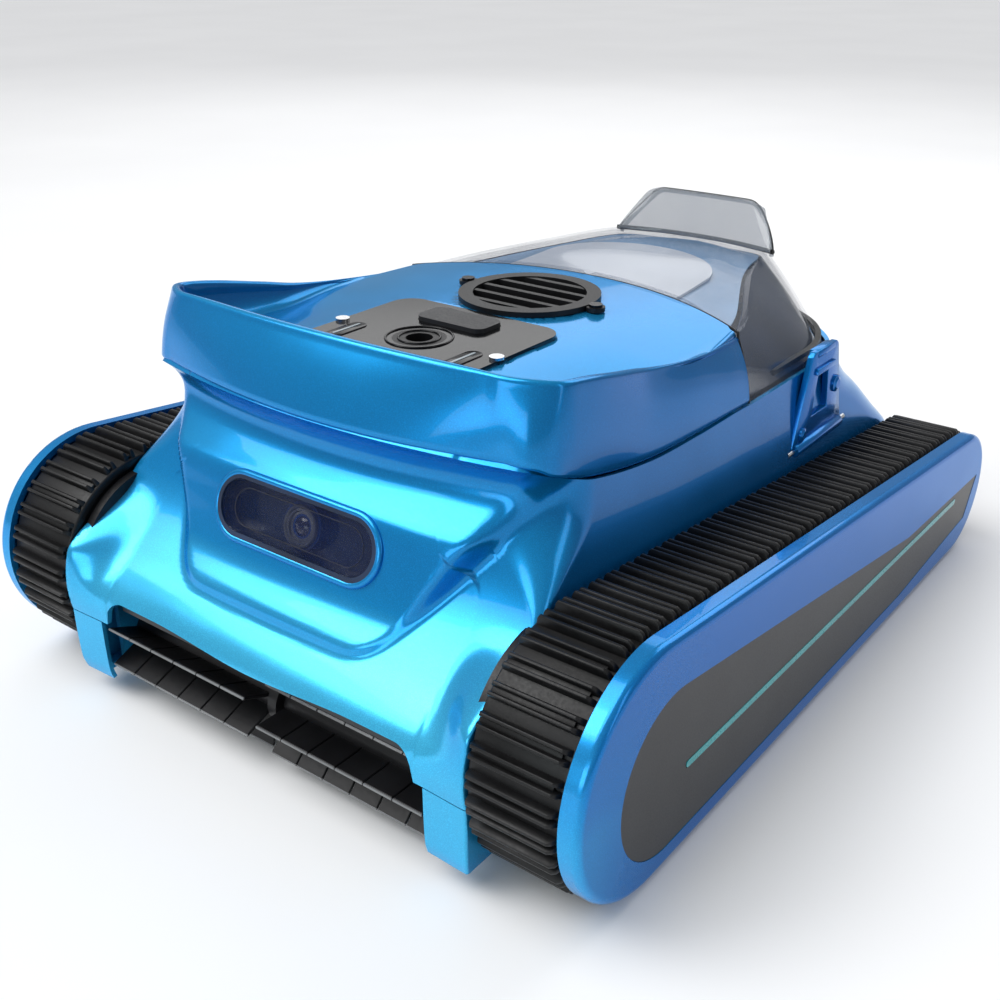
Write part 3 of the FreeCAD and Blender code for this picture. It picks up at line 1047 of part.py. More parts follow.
def build_controls():
    slab = deck_panel_plate("deck_panel_slab", "0", "panel_bottom", "panel_top")
    button_way = button_plate("button_way", "track_clearance", "panel_bottom - 1", "panel_top + 1")
    socket_way = rod("socket_way", "z", "socket_radius", "panel_bottom - 1", "panel_top + 1",
                     ("0", "socket_y"))
    keep(cut("deck_panel", slab, button_way, socket_way, *panel_screw_ways("panel")),
         "control_panel")
    screws = [screw(f"panel_screw_{i}", "z", "panel_top - small_screw_length",
                    "panel_top + small_head_height", place, "small_screw_radius",
                    "small_head_radius", "small_head_height")
              for i, place in enumerate(panel_screw_places())]
    keep(group("panel_screw_group", *screws), "panel_screws")

    cap = button_plate("button_cap", "0", "button_bottom", "button_top")
    flange = button_plate("button_flange_plate", "button_flange", "button_bottom",
                          "button_bottom + button_flange_height")
    keep(fuse("button", cap, flange), "mode_button")

    socket_body = rod("socket_body", "z", "socket_radius", "socket_bottom", "panel_top",
                      ("0", "socket_y"))
    bore = rod("socket_bore_tool", "z", "socket_bore", "socket_floor", "panel_top + 1",
               ("0", "socket_y"))
    places_of_contacts = [(x, "socket_y") for x in ("-contact_pitch", "0", "contact_pitch")]
    contact_ways = [rod(f"contact_way_{i}", "z", "contact_radius", "socket_bottom", "socket_floor",
                        place) for i, place in enumerate(places_of_contacts)]
    keep(cut("socket", socket_body, bore, *contact_ways), "charging_socket")
    contacts = [rod(f"contact_{i}", "z", "contact_radius", "socket_bottom", "socket_floor", place)
                for i, place in enumerate(places_of_contacts)]
    keep(group("contact_group", *contacts), "charging_contacts")

    inset = "board_inset"
    board = block("board", (f"-deck_panel_half_width + {inset}", f"deck_panel_half_width - {inset}"),
                  (f"deck_panel_front_y + {inset}", f"deck_panel_rear_y - {inset}"),
                  ("board_top - board_thickness", "board_top"))
    switch = block("switch", ("-switch_half_width", "switch_half_width"),
                   ("button_y - switch_half_width", "button_y + switch_half_width"),
                   ("board_top", "board_top + switch_height"))
    hole = rod("board_hole", "z", "socket_radius + 0.5", "board_top - 5", "board_top + 1",
               ("0", "socket_y"))
    keep(cut("board_finished", fuse("board_blank", board, switch), hole), "control_board")


# ---- filter and inlet -----------------------------------------------------------------------------

def inlet_slot(name, low, high):
    return block(name, ("-inlet_half_width", "inlet_half_width"),
                 ("inlet_front_y", "inlet_rear_y"), (low, high))


def build_filter():
    well = block("well", ("-well_half", "well_half"), ("well_front_y", "well_rear_y"),
                 ("well_bottom", "well_top"))
    well_room = block("well_room", ("-well_half + well_wall", "well_half - well_wall"),
                      ("well_front_y + well_wall", "well_rear_y - well_wall"),
                      ("well_bottom + well_wall", "well_top + 1"))
    half, rear = "hull_half - flange_side_gap", "rear_y - flange_rear_gap"
    flange = plate("flange", "xy", [(f"-({half})", "well_front_y"), (half, "well_front_y"),
                                    (half, rear), (f"-({half})", rear)],
                   "well_top - well_wall", "well_top", "flange_corner")
    keep(cut("well_finished", fuse("well_blank", well, flange), well_room,
             inlet_slot("well_slot", "well_bottom - 1", "well_bottom + well_wall + 1"),
             water_port("well_port")), "filter_housing")

    half, front, rear = "basket_half", "basket_front_y", "basket_rear_y"
    wall = "basket_wall"
    tub = block("basket", (f"-{half}", half), (front, rear), ("basket_bottom", "basket_top"))
    room = block("basket_room", (f"-{half} + {wall}", f"{half} - {wall}"),
                 (f"{front} + {wall}", f"{rear} - {wall}"), ("basket_floor", "basket_top + 1"))
    margin = "basket_window_margin"
    windows = [block("window_x", (f"-{half} - 1", f"{half} + 1"),
                     (f"{front} + {margin}", f"{rear} - {margin}"),
                     ("basket_window_low", "basket_window_high")),
               block("window_y_left", (f"-{half} + {margin}", "-4"), (f"{front} - 1", f"{rear} + 1"),
                     ("basket_window_low", "basket_window_high")),
               block("window_y_right", ("4", f"{half} - {margin}"), (f"{front} - 1", f"{rear} + 1"),
                     ("basket_window_low", "basket_window_high"))]
    collar = block("collar", ("-inlet_half_width - collar_wall", "inlet_half_width + collar_wall"),
                   ("inlet_front_y - collar_wall", "inlet_rear_y + collar_wall"),
                   ("basket_bottom", "collar_z"))
    ears = [block(f"flap_ear_{i}", (low, high), ("flap_y - flap_barrel", "flap_y + flap_barrel"),
                  ("basket_bottom", "flap_z + flap_barrel"))
            for i, (low, high) in enumerate((("-flap_half - flap_ear", "-flap_half - track_clearance"),
                                             ("flap_half + track_clearance",
                                              "flap_half + flap_ear")))]
    pin_way = rod("flap_pin_way", "x", "flap_pin_radius", "-flap_half - flap_ear - 1",
                  "flap_half + flap_ear + 1", ("flap_y", "flap_z"))
    frame = cut("basket_frame", tub, room, *windows)
    keep(cut("basket_finished", fuse("basket_blank", frame, collar, *ears),
             inlet_slot("basket_slot", "basket_bottom - 1", "collar_z + 1"), pin_way),
         "filter_basket")

    gap = "basket_wall"
    liner = block("liner", (f"-{half} + {gap}", f"{half} - {gap}"),
                  (f"{front} + {gap}", f"{rear} - {gap}"), ("screen_bottom", "screen_top"))
    liner_room = block("liner_room",
                       (f"-{half} + {gap} + screen_wall", f"{half} - {gap} - screen_wall"),
                       (f"{front} + {gap} + screen_wall", f"{rear} - {gap} - screen_wall"),
                       ("screen_bottom - 1", "screen_top + 1"))
    keep(cut("liner_finished", liner, liner_room), "filter_screen")

    leaf = block("flap_leaf", ("-flap_half", "flap_half"), ("flap_y", "inlet_rear_y + collar_wall"),
                 ("flap_bottom", "flap_bottom + flap_thickness"))
    barrel = rod("flap_barrel_rod", "x", "flap_barrel", "-flap_half", "flap_half",
                 ("flap_y", "flap_z"))
    bore = rod("flap_bore", "x", "flap_pin_radius + shaft_clearance", "-flap_half - 1",
               "flap_half + 1", ("flap_y", "flap_z"))
    keep(cut("flap", fuse("flap_blank", leaf, barrel), bore), "inlet_flap")
    keep(rod("flap_pin_rod", "x", "flap_pin_radius", "-flap_half - flap_ear",
             "flap_half + flap_ear", ("flap_y", "flap_z")), "flap_pin")


# ---- drive motors and batteries -------------------------------------------------------------------

def build_power():
    depth = ("gear_case_x", "gear_case_x + gear_case_depth")
    low = block("gear_case_low", depth, ("brush_y - gear_case_front", "front_axle_y"),
                ("gear_case_bottom", "hull_seam - gear_case_slack"))
    high = block("gear_case_high", depth, ("front_axle_y - gear_case_ahead",
                                           "front_axle_y + gear_case_rear"),
                 ("gear_case_bottom", "gear_case_top"))
    can = rod("drive_can", "x", "drive_motor_radius", "gear_case_x - drive_motor_length",
              "gear_case_x + 1", ("drive_motor_y", "drive_motor_z"))
    ways = [rod("gear_axle_way", "x", "axle_radius + shaft_clearance", "gear_case_x - 1",
                "gear_case_x + gear_case_depth + 1", ("front_axle_y", "front_track_radius")),
            rod("gear_brush_way", "x", "brush_shaft_radius + shaft_clearance", "gear_case_x - 1",
                "gear_case_x + gear_case_depth + 1", ("brush_y", "brush_z"))]
    pair("drive_motor", cut("drive_unit", fuse("drive_unit_blank", low, high, can), *ways))

    corners = [("battery_inner_x", "battery_front_y"), ("battery_outer_x", "battery_front_y"),
               ("battery_outer_x", "battery_rear_y"), ("battery_inner_x", "battery_rear_y")]
    pair("battery_pack", plate("battery", "xy", corners, "pan_bottom + pan_wall", "battery_top",
                               "battery_corner"))


def check_and_export():
    """Stops on any failed object or bad solid, then writes one file per sub-part."""
    doc.recompute()
    for item in doc.Objects:
        if "Invalid" in item.State or "Error" in item.State:
            raise RuntimeError(f"{item.Name} did not recompute")
    faulty = [node.Label for node in NODES
              if node.Shape.isNull() or not node.Shape.isValid() or not node.Shape.Solids]
    if faulty:
        raise RuntimeError(f"no valid solid in {faulty}")
    os.makedirs("parts", exist_ok=True)
    for node in NODES:
        node.Shape.exportStep(f"parts/{node.Label}.step")
    print(len(NODES), "sub-parts written")


deck_outer, deck_skin = deck_lofts()
build_tracks()
build_pan()
build_shell()
build_top_cover(deck_skin)
build_lid(deck_outer, deck_skin)
build_latches()
build_camera()
build_brush()
build_pump()
build_grille()
build_controls()
build_filter()
build_power()
check_and_export()
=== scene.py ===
"""Looks of the tracked pool cleaner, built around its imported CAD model.

Lengths inside the helpers are in millimetres and are scaled to metres where a mesh is made. The
brush faces -Y, +Z is up, and left-hand pieces are mirror images of the right-hand ones.
"""
import bmesh
import bpy
import math
from mathutils import Matrix, Vector


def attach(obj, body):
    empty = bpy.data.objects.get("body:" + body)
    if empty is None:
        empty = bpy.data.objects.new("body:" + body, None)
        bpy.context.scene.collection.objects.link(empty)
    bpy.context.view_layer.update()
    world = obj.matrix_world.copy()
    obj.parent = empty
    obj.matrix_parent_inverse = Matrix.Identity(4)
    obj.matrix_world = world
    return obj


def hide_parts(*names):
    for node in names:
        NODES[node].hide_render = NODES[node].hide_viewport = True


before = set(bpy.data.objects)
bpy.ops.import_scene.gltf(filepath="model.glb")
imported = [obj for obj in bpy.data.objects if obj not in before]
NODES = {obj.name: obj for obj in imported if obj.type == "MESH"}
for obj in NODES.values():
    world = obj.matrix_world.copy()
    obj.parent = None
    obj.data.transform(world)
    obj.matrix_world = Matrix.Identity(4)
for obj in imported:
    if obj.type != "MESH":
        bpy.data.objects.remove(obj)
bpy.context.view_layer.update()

MM = 0.001


# ---- small numbers -------------------------------------------------------------------------------

def clamp(value, low=0.0, high=1.0):
    return max(low, min(high, value))


def mix(a, b, t):
    return a + (b - a) * t


def smooth(value):
    t = clamp(value)
    return t * t * (3 - 2 * t)


def curve(*points):
    """A smooth function through (input, output) points, flat beyond its ends."""
    def read(at):
        if at <= points[0][0]:
            return points[0][1]
        if at >= points[-1][0]:
            return points[-1][1]
        i = max(k for k in range(len(points) - 1) if points[k][0] <= at)
        (x0, y0), (x1, y1) = points[i], points[i + 1]
        span, t = x1 - x0, (at - x0) / (x1 - x0)
        before = points[i - 1] if i > 0 else points[i]
        after = points[i + 2] if i + 2 < len(points) else points[i + 1]
        m0 = (y1 - before[1]) / (x1 - before[0]) * span
        m1 = (after[1] - y0) / (after[0] - x0) * span
        return ((2 * t ** 3 - 3 * t ** 2 + 1) * y0 + (t ** 3 - 2 * t ** 2 + t) * m0
                + (3 * t ** 2 - 2 * t ** 3) * y1 + (t ** 3 - t ** 2) * m1)
    return read


# ---- materials ------------------------------------------------------------------------------------

def new_material(name):
    """A new node material with its tree and its surface shader."""
    material = bpy.data.materials.new(name)
    material.use_nodes = True
    tree = material.node_tree
    shader = tree.nodes["Principled BSDF"]
    return material, tree, shader


def add(tree, kind, inputs=(), **settings):
    """A new node; an input is linked where its value is a socket and set where it is not."""
    node = tree.nodes.new(kind)
    for key, value in settings.items():
        setattr(node, key, value)
    for socket, value in inputs:
        if isinstance(value, bpy.types.NodeSocket):
            tree.links.new(value, node.inputs[socket])
        else:
            node.inputs[socket].default_value = value
    return node


def set_shader(shader, **values):
    for key, value in values.items():
        shader.inputs[key.replace("_", " ")].default_value = value


def ramp(tree, fac, *stops):
    node = add(tree, "ShaderNodeValToRGB", [("Fac", fac)])
    elements = node.color_ramp.elements
    while len(elements) < len(stops):
        elements.new(0.5)
    for element, (place, colour) in zip(elements, stops):
        element.position = place
        element.color = (*colour, 1.0) if len(colour) == 3 else colour
    return node.outputs["Color"]


def noise_node(tree, scale, detail=3.0, rough=0.5):
    place = add(tree, "ShaderNodeTexCoord").outputs["Object"]
    return add(tree, "ShaderNodeTexNoise", [("Vector", place), ("Scale", scale),
                                            ("Detail", detail), ("Roughness", rough)])


def bumped(tree, shader, height, strength, distance):
    bump = add(tree, "ShaderNodeBump", [("Height", height), ("Strength", strength),
                                        ("Distance", distance)])
    tree.links.new(bump.outputs["Normal"], shader.inputs["Normal"])


def paint_with_painted_light(name, deep, middle, pale):
    """Gloss blue paint with painted light: deep on the flanks, and painted paler where faces turn forward,
    turn up or sit low at the front.
    """
    material, tree, shader = new_material(name)
    coords = add(tree, "ShaderNodeTexCoord")
    normal = add(tree, "ShaderNodeSeparateXYZ", [("Vector", coords.outputs["Normal"])])
    place = add(tree, "ShaderNodeSeparateXYZ", [("Vector", coords.outputs["Object"])])
    # Painted light: forward-facing faces, up-facing faces and the low front are painted paler, as if lit. The
    # cloud noise adds random tone on top.
    front = add(tree, "ShaderNodeMapRange", [("Value", normal.outputs["Y"]), ("From Min", 0.35),
                                             ("From Max", -0.9), ("To Min", 0.0), ("To Max", 0.25)])
    low = add(tree, "ShaderNodeMapRange", [("Value", place.outputs["Z"]), ("From Min", 0.100),
                                           ("From Max", 0.05), ("To Min", 0.0), ("To Max", 0.45)])
    ahead = add(tree, "ShaderNodeMapRange", [("Value", place.outputs["Y"]), ("From Min", -0.12),
                                             ("From Max", -0.20), ("To Min", 0.0), ("To Max", 1.0)])
    above = add(tree, "ShaderNodeMapRange", [("Value", normal.outputs["Z"]), ("From Min", 0.3),
                                             ("From Max", 1.0), ("To Min", 0.0), ("To Max", 0.40)])
    toe = add(tree, "ShaderNodeMath", [(0, low.outputs["Result"]), (1, ahead.outputs["Result"]),
                                       (2, above.outputs["Result"])], operation="MULTIPLY_ADD")
    total = add(tree, "ShaderNodeMath", [(0, front.outputs["Result"]), (1, toe.outputs[0])],
                operation="ADD")
    cloud = noise_node(tree, 9.0, 2.0)
    cloud_and_painted_light = add(tree, "ShaderNodeMath", [(0, cloud.outputs["Fac"]), (1, 0.10)],
                operation="MULTIPLY_ADD")
    tree.links.new(total.outputs[0], cloud_and_painted_light.inputs[2])
    colour = ramp(tree, cloud_and_painted_light.outputs[0], (0.05, deep), (0.45, middle), (0.95, pale))
    flake = noise_node(tree, 2600.0, 1.0)
    spark = ramp(tree, flake.outputs["Fac"], (0.45, (0.92, 0.92, 0.92)), (0.75, (1.25, 1.25, 1.25)))
    tinted = add(tree, "ShaderNodeMix", [("Factor", 1.0), ("A", colour), ("B", spark)],
                 data_type="RGBA", blend_type="MULTIPLY")
    tree.links.new(tinted.outputs["Result"], shader.inputs["Base Color"])
    wave = noise_node(tree, 28.0, 2.0)
    rough = ramp(tree, wave.outputs["Fac"], (0.3, (0.17, 0.17, 0.17)), (0.7, (0.24, 0.24, 0.24)))
    tree.links.new(rough, shader.inputs["Roughness"])
    set_shader(shader, Metallic=0.55, IOR=1.4, Coat_Weight=0.45, Coat_Roughness=0.03, Coat_IOR=1.4,
               Specular_Tint=(0.20, 0.58, 1.0, 1.0), Coat_Tint=(0.75, 0.92, 1.0, 1.0))
    bumped(tree, shader, flake.outputs["Fac"], 0.05, 0.0001)
    return material


def moulded(name, colour, rough, grain=900.0, strength=0.12, coat=0.0, spread=0.35, shine=0.5):
    """Moulded plastic, rubber or metal with a fine grain, and colour that varies a little."""
    material, tree, shader = new_material(name)
    patches = noise_node(tree, 35.0, 4.0)
    darker = tuple(c * (1 - spread) for c in colour)
    lighter = tuple(min(1.0, c * (1 + spread) + 0.002) for c in colour)
    tree.links.new(ramp(tree, patches.outputs["Fac"], (0.3, darker), (0.7, lighter)),
                   shader.inputs["Base Color"])
    fine = noise_node(tree, grain, 3.0)
    shade = ramp(tree, fine.outputs["Fac"], (0.3, (rough * 0.85,) * 3), (0.7, (rough * 1.15,) * 3))
    tree.links.new(shade, shader.inputs["Roughness"])
    set_shader(shader, Specular_IOR_Level=shine, Coat_Weight=coat, Coat_Roughness=0.05)
    bumped(tree, shader, fine.outputs["Fac"], strength, 0.0002)
    return material


def brushed(name, colour, rough=0.28):
    material, tree, shader = new_material(name)
    place = add(tree, "ShaderNodeTexCoord").outputs["Object"]
    stretch = add(tree, "ShaderNodeMapping", [("Vector", place)])
    stretch.inputs["Scale"].default_value = (60.0, 1500.0, 1500.0)
    lines = add(tree, "ShaderNodeTexNoise", [("Vector", stretch.outputs["Vector"]), ("Scale", 1.0),
                                             ("Detail", 3.0)])
    dark = tuple(c * 0.75 for c in colour)
    tree.links.new(ramp(tree, lines.outputs["Fac"], (0.3, dark), (0.7, colour)),
                   shader.inputs["Base Color"])
    set_shader(shader, Metallic=1.0, Roughness=rough)
    bumped(tree, shader, lines.outputs["Fac"], 0.15, 0.0001)
    return material


def clear(name, tint, alpha, rough=0.04, edge=0.25):
    """A clear moulding: tinted, glossy and more solid in slow cloudy patches."""
    material, tree, shader = new_material(name)
    cloud = noise_node(tree, 14.0, 2.0)
    pale = tuple(min(1.0, c * 1.4) for c in tint)
    tree.links.new(ramp(tree, cloud.outputs["Fac"], (0.3, tint), (0.7, pale)),
                   shader.inputs["Base Color"])
    solid = add(tree, "ShaderNodeMapRange", [("Value", cloud.outputs["Fac"]), ("From Min", 0.3),
                                             ("From Max", 0.7), ("To Min", alpha),
                                             ("To Max", min(1.0, alpha + edge * 0.4))])
    tree.links.new(solid.outputs["Result"], shader.inputs["Alpha"])
    set_shader(shader, Roughness=rough, IOR=1.49, Coat_Weight=0.6, Coat_Roughness=0.02)
    return material


# Both paints carry painted light. paint_side is a deeper copy used on the side covers and latches.
PAINT = paint_with_painted_light("paint_blue", (0.002, 0.12, 0.37), (0.008, 0.27, 0.60), (0.09, 0.62, 0.90))
PAINT_SIDE = paint_with_painted_light("paint_side", (0.002, 0.12, 0.42), (0.005, 0.20, 0.55),
                         (0.05, 0.50, 0.85))
RUBBER = moulded("rubber_black", (0.005, 0.005, 0.0055), 0.42, 700.0, 0.2, 0.0, 0.4, shine=0.3)
BRUSH_RUBBER = moulded("rubber_brush", (0.006, 0.006, 0.007), 0.36, 500.0, 0.15, 0.0, 0.4, shine=0.3)
BLACK = moulded("plastic_black", (0.006, 0.006, 0.007), 0.38, 1200.0, 0.12, 0.0, 0.3, shine=0.3)
BLACK_GLOSS = moulded("plastic_black_gloss", (0.002, 0.0022, 0.003), 0.14, 1500.0, 0.02, 0.0, 0.3,
                      shine=0.25)
PANEL_DARK = moulded("plastic_side_panel", (0.018, 0.019, 0.022), 0.34, 1500.0, 0.05, 0.0, 0.15,
                     shine=0.4)
DARK_GREY = moulded("plastic_grey", (0.022, 0.023, 0.026), 0.42, 1100.0, 0.12, 0.0, 0.25, shine=0.35)
BLUE_BLACK = moulded("plastic_blue_black", (0.006, 0.018, 0.05), 0.2, 900.0, 0.05, 0.6, 0.4)
STEEL = brushed("steel", (0.62, 0.63, 0.65))
BRIGHT = brushed("steel_bright", (0.85, 0.85, 0.86), 0.2)
BRASS = brushed("contact_gold", (0.83, 0.62, 0.25), 0.25)
CAN = brushed("motor_can", (0.42, 0.43, 0.45), 0.35)
TEAL = moulded("accent_teal", (0.0, 0.33, 0.36), 0.3, 900.0, 0.03, 0.4, 0.15)
GREEN = moulded("board_green", (0.01, 0.12, 0.05), 0.4, 600.0, 0.1, 0.2, 0.3)
WRAP = moulded("battery_wrap", (0.02, 0.05, 0.12), 0.35, 900.0, 0.1, 0.2, 0.2)
MESH = moulded("filter_mesh", (0.45, 0.46, 0.47), 0.7, 1600.0, 0.8, 0.0, 0.3)
SMOKE = clear("clear_smoke", (0.05, 0.08, 0.14), 0.12)
SMOKE_PALE = clear("clear_pale", (0.24, 0.26, 0.29), 0.42)
# Painted highlight: a pale clear material for the bright line along the grip's edge.
EDGE_HIGHLIGHT = clear("clear_edge_painted_highlight", (0.62, 0.65, 0.68), 0.55)
GLASS_BLUE = clear("glass_blue", (0.001, 0.008, 0.05), 0.16, 0.02)
RING = moulded("lens_ring_grey", (0.06, 0.065, 0.075), 0.18, 1500.0, 0.02, 0.6, 0.2)
PLATE_BLUE = moulded("camera_plate", (0.002, 0.022, 0.11), 0.25, 900.0, 0.04, 0.4, 0.5)
TIP_GREY = moulded("rubber_tip", (0.16, 0.165, 0.17), 0.35, 600.0, 0.05, 0.0, 0.2)
LENS = clear("lens_coated", (0.01, 0.012, 0.03), 0.75, 0.01)
TONGUE = moulded("inner_tongue", (0.62, 0.68, 0.78), 0.22, 1200.0, 0.04, 0.5, 0.06)
UNDER_TOP = moulded("inner_roof", (0.14, 0.34, 0.62), 0.25, 1200.0, 0.04, 0.5, 0.10)
SCREEN_LIGHT = moulded("light_slot", (0.30, 0.36, 0.40), 0.3, 900.0, 0.03, 0.4, 0.1)


# ---- mesh helpers -----------------------------------------------------------------------------------

def piece(name, mesh, material, body, replaced=(), angle=35.0):
    """Links a mesh as one smooth-shaded piece that rides on a body."""
    item = bpy.data.objects.new(name, mesh)
    bpy.context.scene.collection.objects.link(item)
    mesh.materials.append(material)
    mesh.shade_smooth()
    mesh.set_sharp_from_angle(angle=math.radians(angle))
    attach(item, body)
    if replaced:
        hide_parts(*replaced)
    return item


def mesh_of(name, verts, faces):
    mesh = bpy.data.meshes.new(name)
    mesh.from_pydata([Vector(v) * MM for v in verts], [], faces)
    mesh.validate()
    work = bmesh.new()
    work.from_mesh(mesh)
    bmesh.ops.remove_doubles(work, verts=work.verts, dist=0.00002)
    bmesh.ops.recalc_face_normals(work, faces=work.faces)
    work.to_mesh(mesh)
    work.free()
    return mesh


def grid_faces(columns, rows, start=0):
    return [(start + c * rows + r, start + (c + 1) * rows + r,
             start + (c + 1) * rows + r + 1, start + c * rows + r + 1)
            for c in range(columns - 1) for r in range(rows - 1)]


def both_sides(columns):
    """Mirrors a list of right-hand columns, whose first lies on x = 0, into a whole one."""
    left = [[(-x, y, z) for x, y, z in column] for column in reversed(columns[1:])]
    return left + columns


def sheet_mesh(name, columns, wall, hole=None):
    """A skin through columns of points, given a wall inwards; hole says which faces are left out."""
    rows = len(columns[0])
    verts = [point for column in columns for point in column]
    faces = grid_faces(len(columns), rows)
    if hole:
        faces = [f for f in faces if not any(hole(verts[i]) for i in f)]
    mesh = mesh_of(name, verts, faces)
    centre = Vector((0, 0, 90)) * MM
    outward = sum((p.center - centre).dot(p.normal) * p.area for p in mesh.polygons)
    if outward < 0:
        mesh.flip_normals()
    return thickened(mesh, wall)


def thickened(mesh, wall):
    """The mesh with a wall added behind its surface."""
    holder = bpy.data.objects.new("holder", mesh)
    bpy.context.scene.collection.objects.link(holder)
    solid = holder.modifiers.new("wall", "SOLIDIFY")
    solid.thickness = wall * MM
    solid.offset = -1.0
    return applied(holder)


def applied(holder):
    """The holder's mesh with its modifiers applied; the holder goes."""
    graph = bpy.context.evaluated_depsgraph_get()
    result = bpy.data.meshes.new_from_object(holder.evaluated_get(graph))
    bpy.data.objects.remove(holder)
    return result


def rounded(mesh, width, segments=2, angle=30.0):
    holder = bpy.data.objects.new("holder", mesh)
    bpy.context.scene.collection.objects.link(holder)
    bevel = holder.modifiers.new("edge", "BEVEL")
    bevel.width = width * MM
    bevel.segments = segments
    bevel.limit_method = "ANGLE"
    bevel.angle_limit = math.radians(angle)
    return applied(holder)


def joined(name, *meshes):
    """One mesh from several."""
    work = bmesh.new()
    for mesh in meshes:
        work.from_mesh(mesh)
    result = bpy.data.meshes.new(name)
    work.to_mesh(result)
    work.free()
    return result


def mirror_mesh(mesh, name):
    twin = mesh.copy()
    twin.name = name
    twin.transform(Matrix.Scale(-1, 4, (1, 0, 0)))
    twin.flip_normals()
    return twin


def extruded(name, outline, low, high, axis="z"):
    """A closed outline of pairs carried from low to high along one axis."""
    def at(a, b, c):
        return {"x": (c, a, b), "y": (a, c, b), "z": (a, b, c)}[axis]
    count = len(outline)
    verts = [at(a, b, c) for c in (low, high) for a, b in outline]
    faces = [tuple(range(count)), tuple(range(count, 2 * count))]
    faces += [(i, (i + 1) % count, count + (i + 1) % count, count + i) for i in range(count)]
    return mesh_of(name, verts, faces)


def turned(name, profile, centre, axis=(0, 0, 1), steps=64):
    """A profile of (radius, along) pairs turned about an axis through centre."""
    direction = Vector(axis).normalized()
    side = direction.orthogonal().normalized()
    across = direction.cross(side)
    verts = []
    for step in range(steps):
        angle = math.tau * step / steps
        out = side * math.cos(angle) + across * math.sin(angle)
        verts += [tuple(Vector(centre) + direction * along + out * radius)
                  for radius, along in profile]
    rows = len(profile)
    faces = [(s * rows + r, ((s + 1) % steps) * rows + r, ((s + 1) % steps) * rows + r + 1,
              s * rows + r + 1) for s in range(steps) for r in range(rows - 1)]
    return mesh_of(name, verts, faces)


def rounded_box(half_x, half_y, corner, steps=8):
    """A rounded rectangle's outline about its centre, anticlockwise."""
    points = []
    for sx, sy, turn in ((1, 1, 0), (-1, 1, 1), (-1, -1, 2), (1, -1, 3)):
        for step in range(steps + 1):
            angle = math.pi / 2 * (turn + step / steps)
            points.append((sx * (half_x - corner) + corner * math.cos(angle),
                           sy * (half_y - corner) + corner * math.sin(angle)))
    return points


def tube(name, points, radius, material, body, closed=False, replaced=()):
    """A round bead along points, made from a poly curve."""
    data = bpy.data.curves.new(name + "_line", "CURVE")
    data.dimensions = "3D"
    data.bevel_depth = radius * MM
    data.bevel_resolution = 3
    spline = data.splines.new("POLY")
    spline.points.add(len(points) - 1)
    for spot, point in zip(spline.points, points):
        spot.co = (*(Vector(point) * MM), 1.0)
    spline.use_cyclic_u = closed
    data.use_fill_caps = not closed
    return piece(name, applied(bpy.data.objects.new(name + "_holder", data)), material, body,
                 replaced, 60.0)


# ---- outline of the belts ----------------------------------------------------------------------------

FRONT_AXLE, REAR_AXLE = (-158.5, 53.0), (175.5, 36.0)
FRONT_R, REAR_R = 53.0, 36.0
BELT_IN, BELT_OUT = 117.5, 158.0
RIDGE_HEIGHT = 4.0
RIDGE_PAIRS = 84
ARCH_R = FRONT_R - 2.5


def track_path(inset):
    """The belt's closed path by arc length, drawn inset from the ridge tips, and its length."""
    (yf, zf), (yr, zr) = FRONT_AXLE, REAR_AXLE
    span = math.hypot(yr - yf, zr - zf)
    slope = math.atan2(zr - zf, yr - yf)
    lean = math.acos((FRONT_R - REAR_R) / span)
    high, low = slope + lean, slope - lean
    rf, rr = FRONT_R - inset, REAR_R - inset
    run = math.sqrt(span ** 2 - (FRONT_R - REAR_R) ** 2)
    arc_f, arc_r = rf * (low + math.tau - high), rr * (high - low)
    total = arc_f + run + arc_r + run

    def read(s):
        s %= total
        if s < arc_f:
            a = high + s / rf
            return ((yf + rf * math.cos(a), zf + rf * math.sin(a)), (math.cos(a), math.sin(a)))
        s -= arc_f
        if s < run:
            n = (math.cos(low), math.sin(low))
            t = s / run
            return ((mix(yf, yr, t) + mix(rf, rr, t) * n[0], mix(zf, zr, t) + mix(rf, rr, t) * n[1]), n)
        s -= run
        if s < arc_r:
            a = low + s / rr
            return ((yr + rr * math.cos(a), zr + rr * math.sin(a)), (math.cos(a), math.sin(a)))
        s -= arc_r
        n = (math.cos(high), math.sin(high))
        t = s / run
        return ((mix(yr, yf, t) + mix(rr, rf, t) * n[0], mix(zr, zf, t) + mix(rr, rf, t) * n[1]), n)
    return read, total


def belt_top(y):
    """Height of the upper run's ridge tips."""
    return 101.3 - 0.1018 * (y + 110)


# ---- hull ---------------------------------------------------------------------------------------------

SEAM = curve((-154, 151.0), (-149, 149.5), (-145, 147.0), (-117.5, 138.0), (-77.5, 131.0),
             (-37.5, 129.0), (0, 128.6), (20, 128.0), (200, 128.0))
FLANK_Y = curve((41.7, -207.0), (50, -206.8), (57, -203.8), (65, -196.5), (73, -188.0),
                (90, -171.0), (107, -158.5), (125, -149.5), (140, -145.0), (152, -147.0))
NOSE_Y = curve((62, -188.0), (68, -192.5), (74, -191.5), (84, -182.0), (92, -177.9), (106, -172.8),
               (119, -167.8), (125, -162.0), (132, -156.6), (139, -155.6), (146, -159.6),
               (152, -166.5))
REAR_Y = curve((41.7, 202.5), (57, 202.5), (65, 200.0), (78, 190.0), (93, 177.0), (106, 168.0),
               (130, 160.0), (150, 158.0))
REAR_C = curve((41.7, 14.0), (57, 20.0), (65, 26.0), (78, 36.0), (93, 44.0), (106, 58.0),
               (130, 76.0), (150, 78.0))


PAN_SEAM = 41.8


def half_width(y, z):
    """Half width of the hull: it swells to meet the belt and draws in above it."""
    edge = belt_top(clamp(y, FRONT_AXLE[0], REAR_AXLE[0])) - 6
    rise = clamp((z - edge) / (SEAM(y) + 6 - edge))
    return 109.8 + 7.3 * (1 - rise) ** 1.7


